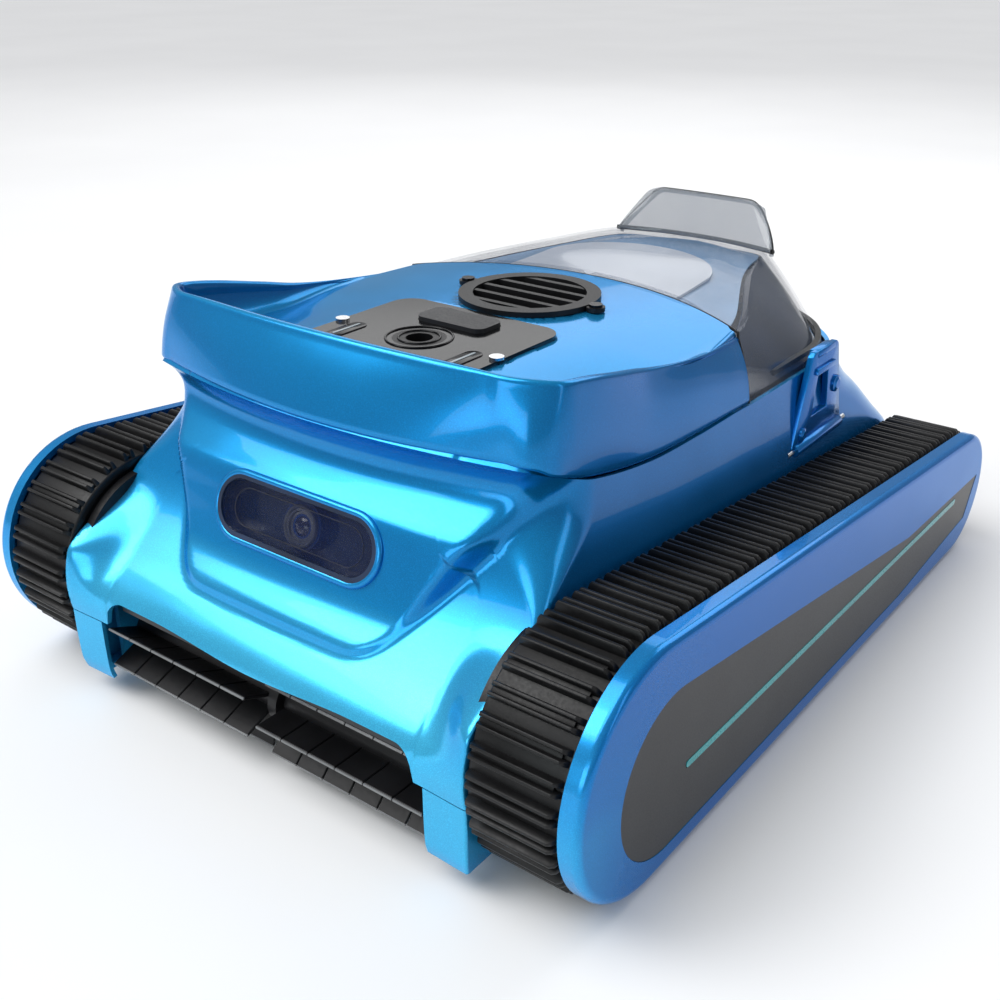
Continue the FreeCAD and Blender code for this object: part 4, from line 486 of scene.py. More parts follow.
def flank_y(x, z):
    """How far forward the front reaches beside the nose, with the arches over the belts."""
    flank = FLANK_Y(z)
    arch = FRONT_AXLE[0] - math.sqrt(max(0.0, ARCH_R ** 2 - (z - FRONT_AXLE[1]) ** 2))
    return mix(flank, min(arch, flank), smooth((x - 88) / 29) ** 1.3 * (1 - smooth((z - 70) / 24)))


def with_nose(x, y, z):
    """The forward reach y at a width and a height, with the nose round the window added."""
    width = 57 + (z - 73) * 0.655
    reach, rise = max(0.0, x - width + 16), max(0.0, 70 + 16 - z)
    distance = math.hypot(reach, rise) - 16
    soft = mix(8.0, 16.0, smooth((z - 75) / 60))
    inside = 1 - smooth((distance + soft / 2) / soft)
    bow = mix(0.0004, 0.0012, smooth((z - 120) / 32)) * x ** 2
    bow += 0.0006 * max(0.0, x - 48) ** 2 * (1 - smooth((z - 120) / 32))
    return mix(y, min(y, NOSE_Y(z) + bow), inside)


def front_y(x, z):
    return with_nose(x, flank_y(x, z), z)


FRONT_COLUMNS, CORNER_COLUMNS, SIDE_COLUMNS, BACK_CORNER, BACK_COLUMNS = 76, 20, 66, 22, 24


def hull_point(column, z):
    """A point of the hull's right half at a height; columns run from front centre to rear centre."""
    corner = mix(1.2, 27.0, smooth((z - 92) / 36))
    y_corner = flank_y(116 - corner, z)
    half = half_width(y_corner + corner, z)
    edge = half - corner
    if column <= FRONT_COLUMNS:
        x = edge * column / FRONT_COLUMNS
        return (x, front_y(x, z), z)
    y_edge = flank_y(edge, z)
    column -= FRONT_COLUMNS
    if column <= CORNER_COLUMNS:
        angle = math.pi / 2 * column / CORNER_COLUMNS
        x = edge + corner * math.sin(angle)
        return (x, with_nose(x, y_edge + corner * (1 - math.cos(angle)), z), z)
    column -= CORNER_COLUMNS
    rear, round_off = REAR_Y(z), REAR_C(z)
    y_start, y_end = y_edge + corner, rear - round_off
    if column <= SIDE_COLUMNS:
        y = mix(y_start, y_end, column / SIDE_COLUMNS)
        return (half_width(y, z), y, z)
    column -= SIDE_COLUMNS
    half = half_width(y_end, z)
    if column <= BACK_CORNER:
        angle = math.pi / 2 * column / BACK_CORNER
        return (half - round_off * (1 - math.cos(angle)), y_end + round_off * math.sin(angle), z)
    column -= BACK_CORNER
    return ((half - round_off) * (1 - column / BACK_COLUMNS), rear, z)


HULL_COLUMNS = FRONT_COLUMNS + CORNER_COLUMNS + SIDE_COLUMNS + BACK_CORNER + BACK_COLUMNS + 1


def hull_top(column):
    """Height of the seam under the deck, lip and cover over a column."""
    if column <= FRONT_COLUMNS * 0.9:
        return 151.5
    z = 150.0
    for _ in range(6):
        z = SEAM(hull_point(column, z)[1])
    return z


def hull_bottom(column):
    """Height of the shell's lower edge: the pan's seam, or the mouth over the brush."""
    if column > FRONT_COLUMNS:
        return PAN_SEAM
    x = hull_point(column, 48.0)[0]
    if x < 81:
        return 54.5 - 2.5 * smooth(1 - x / 60)
    if x < 91:
        return 54.5 - (10 - math.sqrt(max(0.0, 100 - (x - 81) ** 2)))
    return PAN_SEAM


LEAN = math.radians(20)
WINDOW_Y, WINDOW_Z = -173.2, 106.0
HOLE_HALF, HOLE_R = 32.0, 13.2


def in_camera_hole(point):
    """Whether a point of the nose lies behind the camera's bezel."""
    x, y, z = point
    if y > -100 or z > 130:
        return False
    height = (z - WINDOW_Z) / math.cos(LEAN)
    return math.hypot(max(0.0, abs(x) - HOLE_HALF), height) < HOLE_R


def build_hull():
    rows = 64
    columns = []
    for column in range(HULL_COLUMNS):
        low, high = hull_bottom(column), hull_top(column)
        columns.append([hull_point(column, mix(low, high, row / (rows - 1)))
                        for row in range(rows)])
    mesh = sheet_mesh("hull_skin", both_sides(columns), 2.2, in_camera_hole)
    piece("hull_skin", mesh, PAINT, "hull", ("body_shell",), 40)

    toe = curve((0, 0.0), (0.5, 0.1), (0.85, 0.6), (1.0, 1.9))
    pan_columns = []
    for column in range(HULL_COLUMNS):
        x, y, _ = hull_point(column, PAN_SEAM)
        if column <= FRONT_COLUMNS and x < 96:
            continue
        line = []
        for row in range(15):
            t = row / 14
            shift = toe(t)
            sink = shift * smooth((-y - 120) / 70) + 3 * shift * smooth((y - 120) / 70)
            squeeze = 0.6 * toe(t)
            near = clamp((x - 96) / 20) if y < -150 else 1.0
            y_here = y + sink * (1 if y < 0 else -1)
            line.append((x - squeeze * near, y_here, mix(41.3, 9.8, t)))
        pan_columns.append(line)
    right = sheet_mesh("pan_skin", pan_columns, 2.0)
    piece("pan_skin", joined("pan_skin", right, mirror_mesh(right, "pan_twin")), PAINT, "hull",
          (), 40)


# ---- deck and lip ----------------------------------------------------------------------------------------

LIP_TOP = curve((0, 182.0), (0.30, 181.5), (0.42, 180.0), (0.50, 177.0), (0.60, 171.0),
                (0.69, 165.8), (0.85, 160.3), (1.0, 157.0))
EDGE_X = curve((-125, 108.2), (-95, 106.5), (-69.5, 104.0), (-27.5, 102.8), (0, 100.6), (15, 98.5))
ARC_R = 212.0
ARC_Y = 40.5 - ARC_R
ARC_GAP = 0.9
GRILLE_Y = -10.5
DECK_COLUMNS = 120


def arc_y(x):
    """The curved line where the deck ends and the clear cover begins."""
    return ARC_Y + math.sqrt(ARC_R ** 2 - x ** 2)


def panel_edge(x, y):
    """Distance outside the control panel's outline, negative within it."""
    qx, qy = abs(x) - 38.0, abs(y + 85.25) - 30.75
    return math.hypot(max(qx, 0.0), max(qy, 0.0)) + min(max(qx, qy), 0.0) - 8.0


def deck_height(x, y):
    """Height of the deck, which dips under the control panel and the grille."""
    dome = 164.9 - 5.4 * (abs(x) / 100) ** 2.4
    dome -= 8.5 * smooth((-112 - y) / 34)
    dome -= 1.6 * smooth((abs(x) - 45) / 40) * smooth((-y - 40) / 50)
    under_panel = 4.5 * smooth((-1.0 - panel_edge(x, y)) / 2.5)
    under_grille = 7.2 * smooth((31.0 - math.hypot(x, y - GRILLE_Y)) / 2.0)
    return dome - max(under_panel, under_grille)


def lip_line(t, corner_x, y_front, radius, side_x, y_end):
    """A plan point along the rim: front centre, corner, then the side, for t from 0 to 1."""
    quarter = math.pi / 2 * radius
    side = y_end - (y_front + radius)
    lengths = (corner_x, quarter, side)
    s = t * sum(lengths)
    if s <= corner_x:
        return s, y_front
    s -= corner_x
    if s <= quarter:
        angle = s / radius
        return corner_x + radius * math.sin(angle), y_front + radius * (1 - math.cos(angle))
    y = y_front + radius + (s - quarter)
    blend = smooth((s - quarter) / 40)
    return mix(corner_x + radius, side_x(y), blend), y


def deck_column(t):
    """One line over the deck's skin: up the wall, over the rim, down to the deck and inwards."""
    y_end = arc_y(98.6)
    top_x, top_y = lip_line(t, 84.0, -154.0, 24.0, EDGE_X, y_end - ARC_GAP)
    top_y += 0.0007 * min(abs(top_x), 84.0) ** 2 * (1 - smooth((top_y + 152) / 20))
    z_top = LIP_TOP(t)
    wall_x, wall_y = lip_line(t, 94.0, -167.0, 15.5, lambda y: half_width(y, SEAM(y)) - 0.3,
                              arc_y(107.0) - ARC_GAP)
    wall_y += 0.0015 * min(wall_x, 94.0) ** 2 * (1 - smooth((wall_y + 151) / 24))
    z_seam = mix(152.0, SEAM(wall_y) + 0.6, smooth((t - 0.27) / 0.1))
    turn_in, turn_side = smooth((t - 0.18) / 0.16), smooth((t - 0.40) / 0.14)
    points = []
    for row in range(-4, 15):
        u = max(0, row) / 14
        under = max(0, -row) / 4 * math.pi / 2
        bulge = math.sin(math.pi * u) * mix(1.2, 1.8, smooth((t - 0.3) / 0.4))
        bulge -= 1.8 * (1 - math.cos(under))
        x, y = mix(wall_x, top_x, u), mix(wall_y, top_y, u)
        out = Vector((x, y + 60, 0)).normalized().lerp(Vector((1, 0, 0)), turn_side)
        points.append((x + out.x * bulge * (x > 0.5), y + out.y * bulge,
                       mix(z_seam + 1.8, z_top, u) - 1.8 * math.sin(under)))
    inward = Vector((0, 1, 0)).lerp(Vector((-top_x, -60 - top_y, 0)).normalized(), turn_in)
    inward = inward.lerp(Vector((-1, 0, 0)), turn_side).normalized()
    height = max(0.0, z_top - deck_height(top_x, top_y) - 0.4)
    thick = mix(0.6, 4.2, smooth(height / 12))
    radius = thick / 2
    for step in range(1, 7):
        angle = math.pi * step / 6
        push = radius * (1 - math.cos(angle))
        points.append((top_x + inward.x * push, top_y + inward.y * push,
                       z_top + radius * math.sin(angle) * 0.9))
    edge = Vector((top_x, top_y, 0)) + inward * thick
    foot = edge + inward * (3.0 + height * 0.42)
    z_foot = deck_height(foot.x, foot.y)
    for step in range(1, 11):
        u = step / 10
        glide = 1 - math.cos(math.pi / 2 * u)
        drop = math.sin(math.pi / 2 * u)
        spot = edge.lerp(foot, glide)
        points.append((spot.x, spot.y, mix(z_top, z_foot, drop)))
    spine_y = mix(-96.0, arc_y(0) - ARC_GAP, smooth(t) * 0.4 + t * 0.6)
    bend = max(0.0, (t - 0.80) / 0.20) ** 2
    for step in range(1, 31):
        u = step / 30
        x = mix(foot.x, 0.0, u)
        straight = mix(foot.y, spine_y, u)
        y = mix(straight, arc_y(x) - ARC_GAP, bend)
        points.append((x, y, deck_height(x, y)))
    return points


def in_deck_hole(point):
    """Whether a point of the deck lies under the control panel or the grille."""
    x, y, z = point
    if z < 150 or y < -122:
        return False
    return math.hypot(x, y - GRILLE_Y) < 27.5 or panel_edge(x, y) < -5.0


def build_deck():
    columns = [deck_column(c / (DECK_COLUMNS - 1)) for c in range(DECK_COLUMNS)]
    columns[0] = [(0.0, y, z) for _, y, z in columns[0]]
    mesh = sheet_mesh("deck_skin", both_sides(columns), 1.8, in_deck_hole)
    piece("deck_skin", mesh, PAINT, "hull", ("top_cover",), 50)
    right = [(x, arc_y(x), deck_height(x, arc_y(x)) - 0.55) for x in
             [98.2 * i / 40 for i in range(41)]]
    right += [(mix(98.6, 109.2, i / 10) + 1.2 * math.sin(math.pi * i / 10),
               mix(arc_y(98.6), arc_y(107.0), i / 10), mix(157.0, 129.0, i / 10) - 0.3)
              for i in range(11)]
    whole = [(-x, y, z) for x, y, z in reversed(right[1:])] + right
    tube("seam_bead", whole, 0.65, RUBBER, "hull")


# ---- clear cover ----------------------------------------------------------------------------------------

SHOULDER = ((98.4, 14.9, 157.0), (92.5, 35.0, 158.6), (85.0, 54.0, 160.2), (73.5, 78.0, 162.2),
            (63.0, 101.0, 163.6), (55.5, 124.0, 164.0), (51.0, 142.0, 163.2), (44.0, 152.5, 162.2),
            (25.0, 157.2, 161.8), (0.0, 158.6, 161.6))
SKIRT = ((108.2, 11.0, 128.6), (109.0, 32.0, 128.6), (109.0, 56.0, 128.6), (108.2, 84.0, 128.6),
         (103.5, 106.0, 128.6), (94.0, 124.0, 128.6), (80.0, 139.0, 128.6), (60.0, 151.5, 128.6),
         (32.0, 159.0, 128.6), (0.0, 160.6, 128.6))
COVER_COLUMNS = 90


def through(points, t):
    """A point at t from 0 to 1 along evenly spaced points, smoothly."""
    place = t * (len(points) - 1)
    return tuple(curve(*[(i, p[axis]) for i, p in enumerate(points)])(place) for axis in range(3))


def cover_height(x, y):
    """Height of the clear cover's top, which domes across and falls to the rear."""
    crown = mix(164.9, 167.0, smooth((y - 40) / 60))
    return crown - 4.4 * (abs(x) / 95) ** 2.2 - 3.5 * smooth((y - 112) / 48)


def cover_column(t, inset=0.0):
    """One line over the cover's skin, from its spine over the shoulder and down the skirt."""
    shoulder, skirt = through(SHOULDER, t), through(SKIRT, t)
    shrink = inset if shoulder[0] > inset else 0
    shoulder = (shoulder[0] - shrink, shoulder[1], shoulder[2] - inset)
    skirt = (max(0.0, skirt[0] - inset), skirt[1] - inset * smooth((t - 0.6) / 0.3), skirt[2])
    spine_y = mix(arc_y(0) + ARC_GAP, 150.0, smooth(t) * 0.5 + t * 0.5)
    bend = max(0.0, 1 - t / 0.2) ** 2
    points = []
    for step in range(26):
        u = step / 26
        x = mix(0.0, shoulder[0], u)
        y = mix(mix(spine_y, shoulder[1], u), arc_y(x) + ARC_GAP, bend)
        z = cover_height(x, y) - inset
        points.append((x, y, mix(z, shoulder[2], smooth((u - 0.6) / 0.4))))
    for step in range(15):
        u = step / 14
        bulge = math.sin(math.pi * u) * 3.0
        out = Vector((skirt[0], skirt[1] - 60, 0)).normalized() if t > 0.5 else Vector((1, 0, 0))
        base = [mix(a, b, u) for a, b in zip(shoulder, skirt)]
        points.append((base[0] + out.x * bulge * (base[0] > 0.5), base[1] + out.y * bulge, base[2]))
    return points


def build_cover():
    def skin(name, inset, wall, keep_rows, material, replaced=()):
        start = 0.02 if inset else 0.0
        columns = [cover_column(mix(start, 1.0, c / (COVER_COLUMNS - 1)), inset)[keep_rows]
                   for c in range(COVER_COLUMNS)]
        columns[-1] = [(0.0, y, z) for _, y, z in columns[-1]]
        left = [[(-x, y, z) for x, y, z in column] for column in columns[:-1]]
        whole = left + list(reversed(columns))
        mesh = sheet_mesh(name, whole, wall)
        return piece(name, mesh, material, "cover", replaced, 50)

    skin("cover_skin", 0.0, 1.6, slice(0, None), SMOKE, ("rear_cover",))
    skin("cover_inner_top", 3.4, 1.0, slice(0, 26), UNDER_TOP)
    # Painted shade: a dark liner inside the clear side stands in for its dark look, which is shade and dark
    # reflection.
    skin("cover_side_shade_liner", 3.6, 1.0, slice(26, None), BLUE_BLACK)

    tongue = []
    for step in range(41):
        angle = math.pi * step / 40
        tongue.append((50.0 * math.cos(angle), 72.0 + 40.0 * math.sin(angle)))
    tongue += [(-52.0, 40.0), (-30.0, 42.6), (0.0, 43.8), (30.0, 42.6), (52.0, 40.0)]
    plate = extruded("tongue", tongue, 0.0, 1.2)
    work = bmesh.new()
    work.from_mesh(plate)
    bmesh.ops.triangulate(work, faces=[f for f in work.faces if len(f.verts) > 4])
    bmesh.ops.subdivide_edges(work, edges=[e for e in work.edges if e.calc_length() > 0.006],
                              cuts=3, use_grid_fill=True)
    for vert in work.verts:
        x, y = vert.co.x / MM, vert.co.y / MM
        vert.co.z += (cover_height(x, y) - 3.1) * MM
    work.to_mesh(plate)
    work.free()
    piece("cover_tongue", plate, TONGUE, "cover")

    across, up = 40, 12
    foot_half, top_half, bow = 50.6, 36.5, 8.5
    grip = []
    for c in range(across + 1):
        s = c / across * 2 - 1
        column = []
        for r in range(up + 1):
            u = r / up
            half = mix(foot_half, top_half, u ** 1.3)
            x = s * half
            corner = max(0.0, (abs(s) - 0.72) / 0.28)
            z_high = 186.0 - 5.0 * corner ** 2.5
            y = mix(158.0, 163.0, u) - mix(bow, 3.0, u) * (x / foot_half) ** 2
            column.append((x, y, mix(161.0, z_high, u)))
        grip.append(column)
    verts = [p for column in grip for p in column]
    blade = thickened(mesh_of("grip_blade", verts, grid_faces(across + 1, up + 1)), 2.8)
    piece("grip_blade", rounded(blade, 0.7, 3), SMOKE_PALE, "cover", ("cover_grip",))
    foot = [(x, 157.4 - bow * (x / foot_half) ** 2, 162.3) for x in
            [-51 + 102 * i / across for i in range(across + 1)]]
    tube("grip_foot", foot, 1.3, BLACK_GLOSS, "cover")
    rim = grip[0] + [column[-1] for column in grip[1:]] + grip[-1][-2::-1]
    tube("grip_rim", [(x, y - 0.2, z) for x, y, z in rim], 0.55, BLACK_GLOSS, "cover")
    # Painted highlight: a pale bead just inside the grip's rim stands in for the edge highlight.
    tube("grip_edge_highlight", [(x * 0.975, y + 1.2, z - 1.4) for x, y, z in rim], 1.3, EDGE_HIGHLIGHT, "cover")


# ---- belts --------------------------------------------------------------------------------------------

def ridge_mesh(x_low, x_high):
    """One cross ridge at the origin: along X, rising along Z from the belt's base."""
    verts, faces = [], []
    for height, pull, half in ((0.0, 0.0, 1.25), (2.6, 0.9, 0.95), (3.9, 2.4, 0.62)):
        for x in (x_low + pull * 0.5, x_high - pull):
            verts += [(x, -half, height), (x, half, height)]
    for level in range(2):
        a, b = level * 4, level * 4 + 4
        faces += [(a, a + 2, b + 2, b), (a + 1, a + 3, b + 3, b + 1), (a, a + 1, b + 1, b),
                  (a + 2, a + 3, b + 3, b + 2)]
    faces.append((8, 9, 11, 10))
    return verts, faces


def build_belts():
    path, total = track_path(RIDGE_HEIGHT)
    steps = 4 * RIDGE_PAIRS
    section = ((BELT_IN, -4.0), (BELT_IN, -0.6), (BELT_IN + 0.6, 0.0), (BELT_OUT - 0.8, 0.0),
               (BELT_OUT, -0.8), (BELT_OUT, -4.0))
    verts, faces = [], []
    for step in range(steps):
        (y, z), (ny, nz) = path(total * step / steps)
        verts += [(x, y + ny * lift, z + nz * lift) for x, lift in section]
    rows = len(section)
    for step in range(steps):
        here, there = step * rows, (step + 1) % steps * rows
        faces += [(here + r, there + r, there + (r + 1) % rows, here + (r + 1) % rows)
                  for r in range(rows)]
    band = mesh_of("belt_band", verts, faces)

    verts, faces = [], []
    ridge_verts, ridge_faces = ridge_mesh(BELT_IN + 0.8, BELT_OUT - 1.2)
    pitch = total / RIDGE_PAIRS
    for pair in range(RIDGE_PAIRS):
        for side in (-1, 1):
            (y, z), (ny, nz) = path(pitch * pair + side * 1.9)
            start = len(verts)
            verts += [(x, y + ny * up - nz * along, z + nz * up + ny * along)
                      for x, along, up in ridge_verts]
            faces += [tuple(start + i for i in face) for face in ridge_faces]
        (y, z), (ny, nz) = path(pitch * pair)
        start = len(verts)
        for x in (BELT_IN + 1.6, BELT_OUT - 4.0):
            verts += [(x, y + ny * up - nz * along, z + nz * up + ny * along)
                      for along, up in ((-1.7, 0.0), (1.7, 0.0), (1.5, 1.5), (-1.5, 1.5))]
        faces += [tuple(start + i for i in face) for face in
                  ((0, 1, 5, 4), (1, 2, 6, 5), (2, 3, 7, 6), (3, 0, 4, 7), (0, 1, 2, 3), (4, 5, 6, 7))]
    ridges = rounded(mesh_of("belt_ridges", verts, faces), 0.3, 2)
    right = joined("belt_right", rounded(band, 0.4, 2), ridges)
    piece("belt_right", right, RUBBER, "hull", ("track_belt_right",))
    piece("belt_left", mirror_mesh(right, "belt_left"), RUBBER, "hull",
          ("track_belt_left",))


# ---- brush ---------------------------------------------------------------------------------------------

BRUSH = (-181.8, 27.5)


def build_brush():
    for side, sign, offset in (("right", 1, 0.0), ("left", -1, 0.5)):
        verts, faces = [], []
        tip_verts, tip_faces = [], []
        for number in range(8):
            angle = math.tau * (number + offset) / 8
            for segment in range(6):
                low = 4.2 + segment * 15.2
                high = low + 14.5
                for inner, outer, half, store, cells in (
                        (6.4, 24.4, 0.75, verts, faces), (24.3, 24.9, 0.5, tip_verts, tip_faces)):
                    start = len(store)
                    for along in (-half, half):
                        for x, radius in ((low, inner), (high, inner), (high, outer), (low, outer)):
                            y = -radius * math.sin(angle) + along * math.cos(angle)
                            z = radius * math.cos(angle) + along * math.sin(angle)
                            store.append((sign * x, BRUSH[0] + y, BRUSH[1] + z))
                    cells += [(start, start + 1, start + 2, start + 3),
                              (start + 4, start + 5, start + 6, start + 7)]
                    cells += [(start + i, start + (i + 1) % 4, start + 4 + (i + 1) % 4, start + 4 + i)
                              for i in range(4)]
        flaps = rounded(mesh_of("flaps", verts, faces), 0.25, 1)
        piece(f"brush_tips_{side}", mesh_of("tips_" + side, tip_verts, tip_faces), TIP_GREY, "brush")
        sleeve = turned("sleeve", [(7.2, 4.0), (8.6, 4.0), (8.8, 6.0), (8.8, 93.0), (8.6, 95.3),
                                   (7.2, 95.3)], (0, BRUSH[0], BRUSH[1]), (sign, 0, 0), 32)
        piece(f"brush_flaps_{side}", joined("flaps_" + side, flaps, sleeve), BRUSH_RUBBER, "brush",
              (f"brush_blades_{side}",))


# ---- camera ---------------------------------------------------------------------------------------------

def leaned(x, depth, height):
    """A point near the window: depth is behind its plane, height is up along it."""
    return (x, WINDOW_Y + depth * math.cos(LEAN) + height * math.sin(LEAN),
            WINDOW_Z + height * math.cos(LEAN) - depth * math.sin(LEAN))


def oblong_loop(half_x, half_z, steps=18):
    """An outline with two straight sides and two half circles."""
    points = []
    for side in (1, -1):
        for step in range(steps + 1):
            angle = -math.pi / 2 + math.pi * step / steps
            points.append((side * ((half_x - half_z) + half_z * math.cos(angle)),
                           side * half_z * math.sin(angle)))
    return points


def build_camera():
    tube("window_rim", [leaned(x, 1.0, h) for x, h in oblong_loop(46.4, 14.4)], 1.7, PAINT, "hull",
         True)
    tube("window_line", [leaned(x, 2.0, h) for x, h in oblong_loop(37.0, 8.4)], 0.25, DARK_GREY,
         "hull", True)
    axis = Vector((0, math.cos(LEAN), -math.sin(LEAN)))
    centre = leaned(0, 0, 0)
    ring = turned("lens_ring", [(9.2, 9.0), (9.2, 3.6), (8.8, 3.1), (7.9, 3.1), (7.4, 3.8),
                                (6.6, 3.9), (6.2, 4.8), (5.2, 5.0), (4.9, 6.0), (4.0, 6.4), (0.01, 6.4)],
                  centre, axis)
    piece("lens_ring", ring, RING, "hull", ("camera_lens",))
    dome = turned("lens_dome", [(4.6, 5.6), (4.1, 4.9), (3.2, 4.4), (2.0, 4.05), (0.9, 3.92),
                                (0.01, 3.9)], centre, axis)
    piece("lens_dome", dome, LENS, "hull")


# ---- control panel ----------------------------------------------------------------------------------------

def build_panel():
    top, port_y, slot_x, slot_y = 165.6, -92.0, 33.0, -103.0
    for name, radius in (("port_ring_outer", 14.8), ("port_ring_inner", 9.2)):
        loop = [(radius * math.cos(math.tau * i / 64), port_y + radius * math.sin(math.tau * i / 64),
                 top + 0.1) for i in range(64)]
        tube(name, loop, 0.55, BLACK_GLOSS, "hull", True)
    for side in (-1, 1):
        slot_outline = [(side * slot_x + x, slot_y + y) for x, y in rounded_box(4.2, 11.0, 4.0)]
        pocket = rounded(extruded("slot", slot_outline, top - 0.6, top + 0.45), 0.3)
        piece(f"panel_slot_{'left' if side < 0 else 'right'}", pocket, BLACK_GLOSS, "hull")
        strip = [(side * slot_x + x, slot_y + y) for x, y in rounded_box(0.7, 8.5, 0.6)]
        piece(f"panel_light_{'left' if side < 0 else 'right'}",
              rounded(extruded("strip", strip, top + 0.3, top + 0.75), 0.15), SCREEN_LIGHT, "hull")


# ---- side latches -----------------------------------------------------------------------------------------

def build_hinge_pins():
    pins = [turned("hinge_pin", [(0.01, 80.0), (1.4, 80.0), (1.7, 80.4), (1.7, 91.0), (1.4, 91.4),
                                 (0.01, 91.4)], (0, 12.0, 157.6), (side, 0, 0), 20)
            for side in (1, -1)]
    piece("hinge_pins", joined("hinge_pins", *pins), STEEL, "hull", ("cover_hinge_pins",))


def build_latches():
    outline = [(55.0, 88.5), (108.0, 88.5), (112.0, 92.0), (106.0, 112.0), (99.0, 136.0), (96.5, 138.0),
               (71.0, 138.0), (68.5, 136.0), (61.0, 112.0), (54.0, 92.0)]
    window = [(74.0, 104.0), (92.0, 104.0), (89.0, 124.0), (77.0, 124.0)]
    work = bmesh.new()
    loops = []
    for points in (outline, window):
        verts = [work.verts.new((113.0 * MM, y * MM, z * MM)) for y, z in points]
        loops += [work.edges.new((verts[i], verts[(i + 1) % len(verts)])) for i in range(len(verts))]
    bmesh.ops.triangle_fill(work, use_beauty=True, edges=loops)
    plate = bpy.data.meshes.new("latch_plate")
    bmesh.ops.recalc_face_normals(work, faces=work.faces)
    work.to_mesh(plate)
    work.free()
    plate = rounded(thickened(plate, 3.4), 0.6, 2)
    plate.transform(Matrix.Translation((1.6 * MM, 0, 0)))
    barrel = turned("latch_barrel", [(1.5, 57.0), (3.1, 57.0), (3.4, 57.6), (3.4, 110.4),
                                     (3.1, 111.0), (1.5, 111.0)], (113.8, 0, 90.0), (0, 1, 0), 28)
    hook = extruded("latch_hook", [(109.6, 134.2), (114.0, 133.4), (115.2, 135.4), (114.6, 138.0),
                                   (109.6, 138.0)], 74.0, 94.0, "y")
    boss = turned("latch_boss", [(0.01, 3.4), (2.4, 3.4), (2.8, 3.0), (4.4, 2.6), (4.6, 0.0)],
                  (113.0, 100.0, 114.0), (1, 0, 0), 28)
    boss_low = turned("latch_boss_low", [(0.01, 3.4), (2.0, 3.4), (2.4, 3.0), (3.6, 2.6), (3.8, 0.0)],
                      (113.0, 64.0, 97.0), (1, 0, 0), 28)
    rib = extruded("latch_rib", [(72.0, 126.0), (95.0, 126.0), (94.0, 129.0), (73.0, 129.0)], 114.0,
                   116.2, "x")
    right = joined("latch_right", plate, barrel, rounded(hook, 0.5), boss, boss_low,
                   rounded(rib, 0.5))
    piece("latch_plate_right", right, PAINT_SIDE, "latch_right",
          ("side_latch_right",))
    piece("latch_plate_left", mirror_mesh(right, "latch_left"), PAINT_SIDE, "latch_left",
          ("side_latch_left",))


# ---- materials of the CAD nodes ----------------------------------------------------------------------------

LOOKS = {
    "chassis_pan": PAINT, "side_cover_left": PAINT_SIDE, "side_cover_right": PAINT_SIDE,
    "side_panel_left": PANEL_DARK, "side_panel_right": PANEL_DARK, "light_strip_left": TEAL,
    "light_strip_right": TEAL, "control_panel": BLACK_GLOSS, "mode_button": DARK_GREY,
    "charging_socket": BLACK, "charging_contacts": BRASS, "panel_screws": BRIGHT,
    "grille_screws": BLACK_GLOSS, "outlet_grille": BLACK, "camera_bezel": BLUE_BLACK,
    "camera_window": GLASS_BLUE, "camera_module": PLATE_BLUE, "cover_seal": RUBBER,
    "mouth_wiper": DARK_GREY, "filter_housing": BLUE_BLACK, "filter_basket": DARK_GREY,
    "filter_screen": MESH, "inlet_flap": DARK_GREY, "pump_duct": BLACK, "pump_motor": CAN,
    "drive_motor_left": CAN, "drive_motor_right": CAN, "control_board": GREEN,
    "battery_pack_left": WRAP, "battery_pack_right": WRAP, "impeller": DARK_GREY,
}
METAL = ("cover_screws", "pan_screws", "wheel_pins", "flap_pin", "latch_pins", "cover_hinge_pins",
         "drive_axle_left", "drive_axle_right")


def dress_nodes():
    for name, node in NODES.items():
        material = STEEL if name in METAL else LOOKS.get(name, BLACK)
        for slot in node.material_slots:
            slot.material = material


# ---- floor, light and camera -------------------------------------------------------------------------------

CAMERA_PLACE = (0.33589, -0.47389, 0.33160)
CAMERA_DOWN, CAMERA_TURN, CAMERA_LENS = 25.735, 37.374, 43.79


def area_light(name, place, target, size, power, colour=(1, 1, 1), size_y=None):
    data = bpy.data.lights.new(name, "AREA")
    data.shape = "RECTANGLE"
    data.size = size
    data.size_y = size_y or size
    data.energy = power
    data.color = colour
    lamp = bpy.data.objects.new(name, data)
    bpy.context.scene.collection.objects.link(lamp)
    lamp.location = place
    lamp.rotation_euler = (Vector(target) - Vector(place)).to_track_quat("-Z", "Y").to_euler()


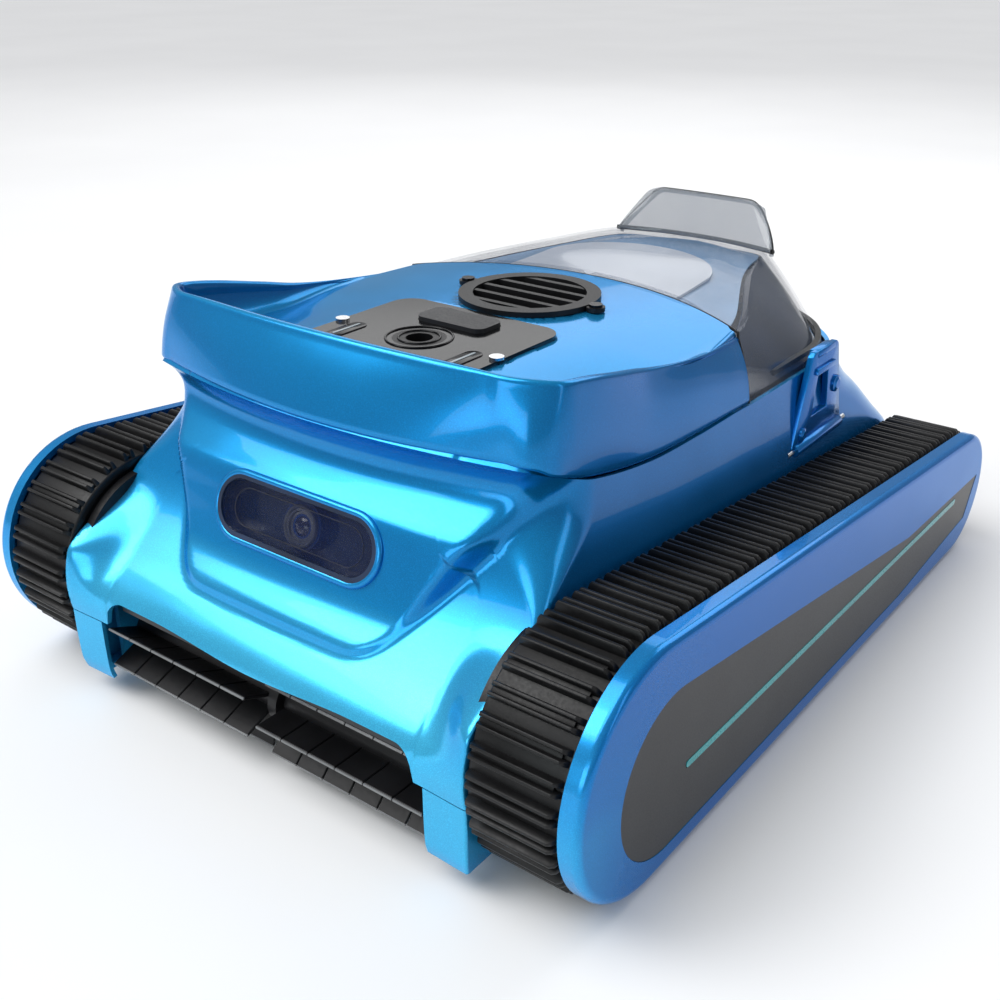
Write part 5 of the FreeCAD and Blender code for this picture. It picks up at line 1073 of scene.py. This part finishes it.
def build_studio():
    work = bmesh.new()
    bmesh.ops.create_grid(work, x_segments=1, y_segments=1, size=6.0)
    ground = bpy.data.meshes.new("ground")
    work.to_mesh(ground)
    work.free()
    floor = bpy.data.objects.new("ground", ground)
    bpy.context.scene.collection.objects.link(floor)
    floor.location = (0, 0, -0.0004)
    pale, tree, shader = new_material("floor_white")
    grain = noise_node(tree, 3.0, 2.0)
    tree.links.new(ramp(tree, grain.outputs["Fac"], (0.3, (0.90, 0.90, 0.905)),
                        (0.7, (0.93, 0.93, 0.935))), shader.inputs["Base Color"])
    set_shader(shader, Roughness=0.6)
    ground.materials.append(pale)

    world = bpy.data.worlds.new("studio")
    bpy.context.scene.world = world
    world.use_nodes = True
    background = world.node_tree.nodes["Background"]
    background.inputs["Color"].default_value = (0.95, 0.97, 1.0, 1.0)
    background.inputs["Strength"].default_value = 0.36

    sun = bpy.data.lights.new("sky", "SUN")
    sun.energy = 1.7
    sun.angle = math.radians(50)
    lamp = bpy.data.objects.new("sky", sun)
    bpy.context.scene.collection.objects.link(lamp)
    lamp.rotation_euler = Vector((0.45, 0.5, -1.2)).to_track_quat("-Z", "Y").to_euler()
    area_light("key", (-0.9, -1.0, 1.3), (0, 0, 0.1), 0.9, 9.0)
    area_light("front_low", (0.15, -1.3, 0.35), (0, -0.1, 0.08), 1.0, 3.2, (0.85, 0.97, 1.0), 0.35)
    area_light("right_strip", (1.5, -0.1, 0.75), (0.1, 0, 0.08), 0.25, 1.6, (1, 1, 1), 1.2)
    area_light("back", (0.3, 1.2, 1.0), (0, 0, 0.15), 0.8, 4.0)
    area_light("back_card", (-1.15, 1.55, 1.15), (0, 0, 0.15), 1.7, 6.0, (1, 1, 1), 0.8)

    data = bpy.data.cameras.new("camera")
    data.lens = CAMERA_LENS
    data.sensor_width = 36.0
    data.clip_start = 0.01
    camera = bpy.data.objects.new("camera", data)
    bpy.context.scene.collection.objects.link(camera)
    camera.location = CAMERA_PLACE
    camera.rotation_euler = (math.radians(90 - CAMERA_DOWN), 0, math.radians(CAMERA_TURN))
    bpy.context.scene.camera = camera
    bpy.context.scene.view_settings.view_transform = "Standard"


dress_nodes()
build_hull()
build_deck()
build_cover()
build_belts()
build_brush()
build_camera()
build_panel()
build_hinge_pins()
build_latches()
build_studio()
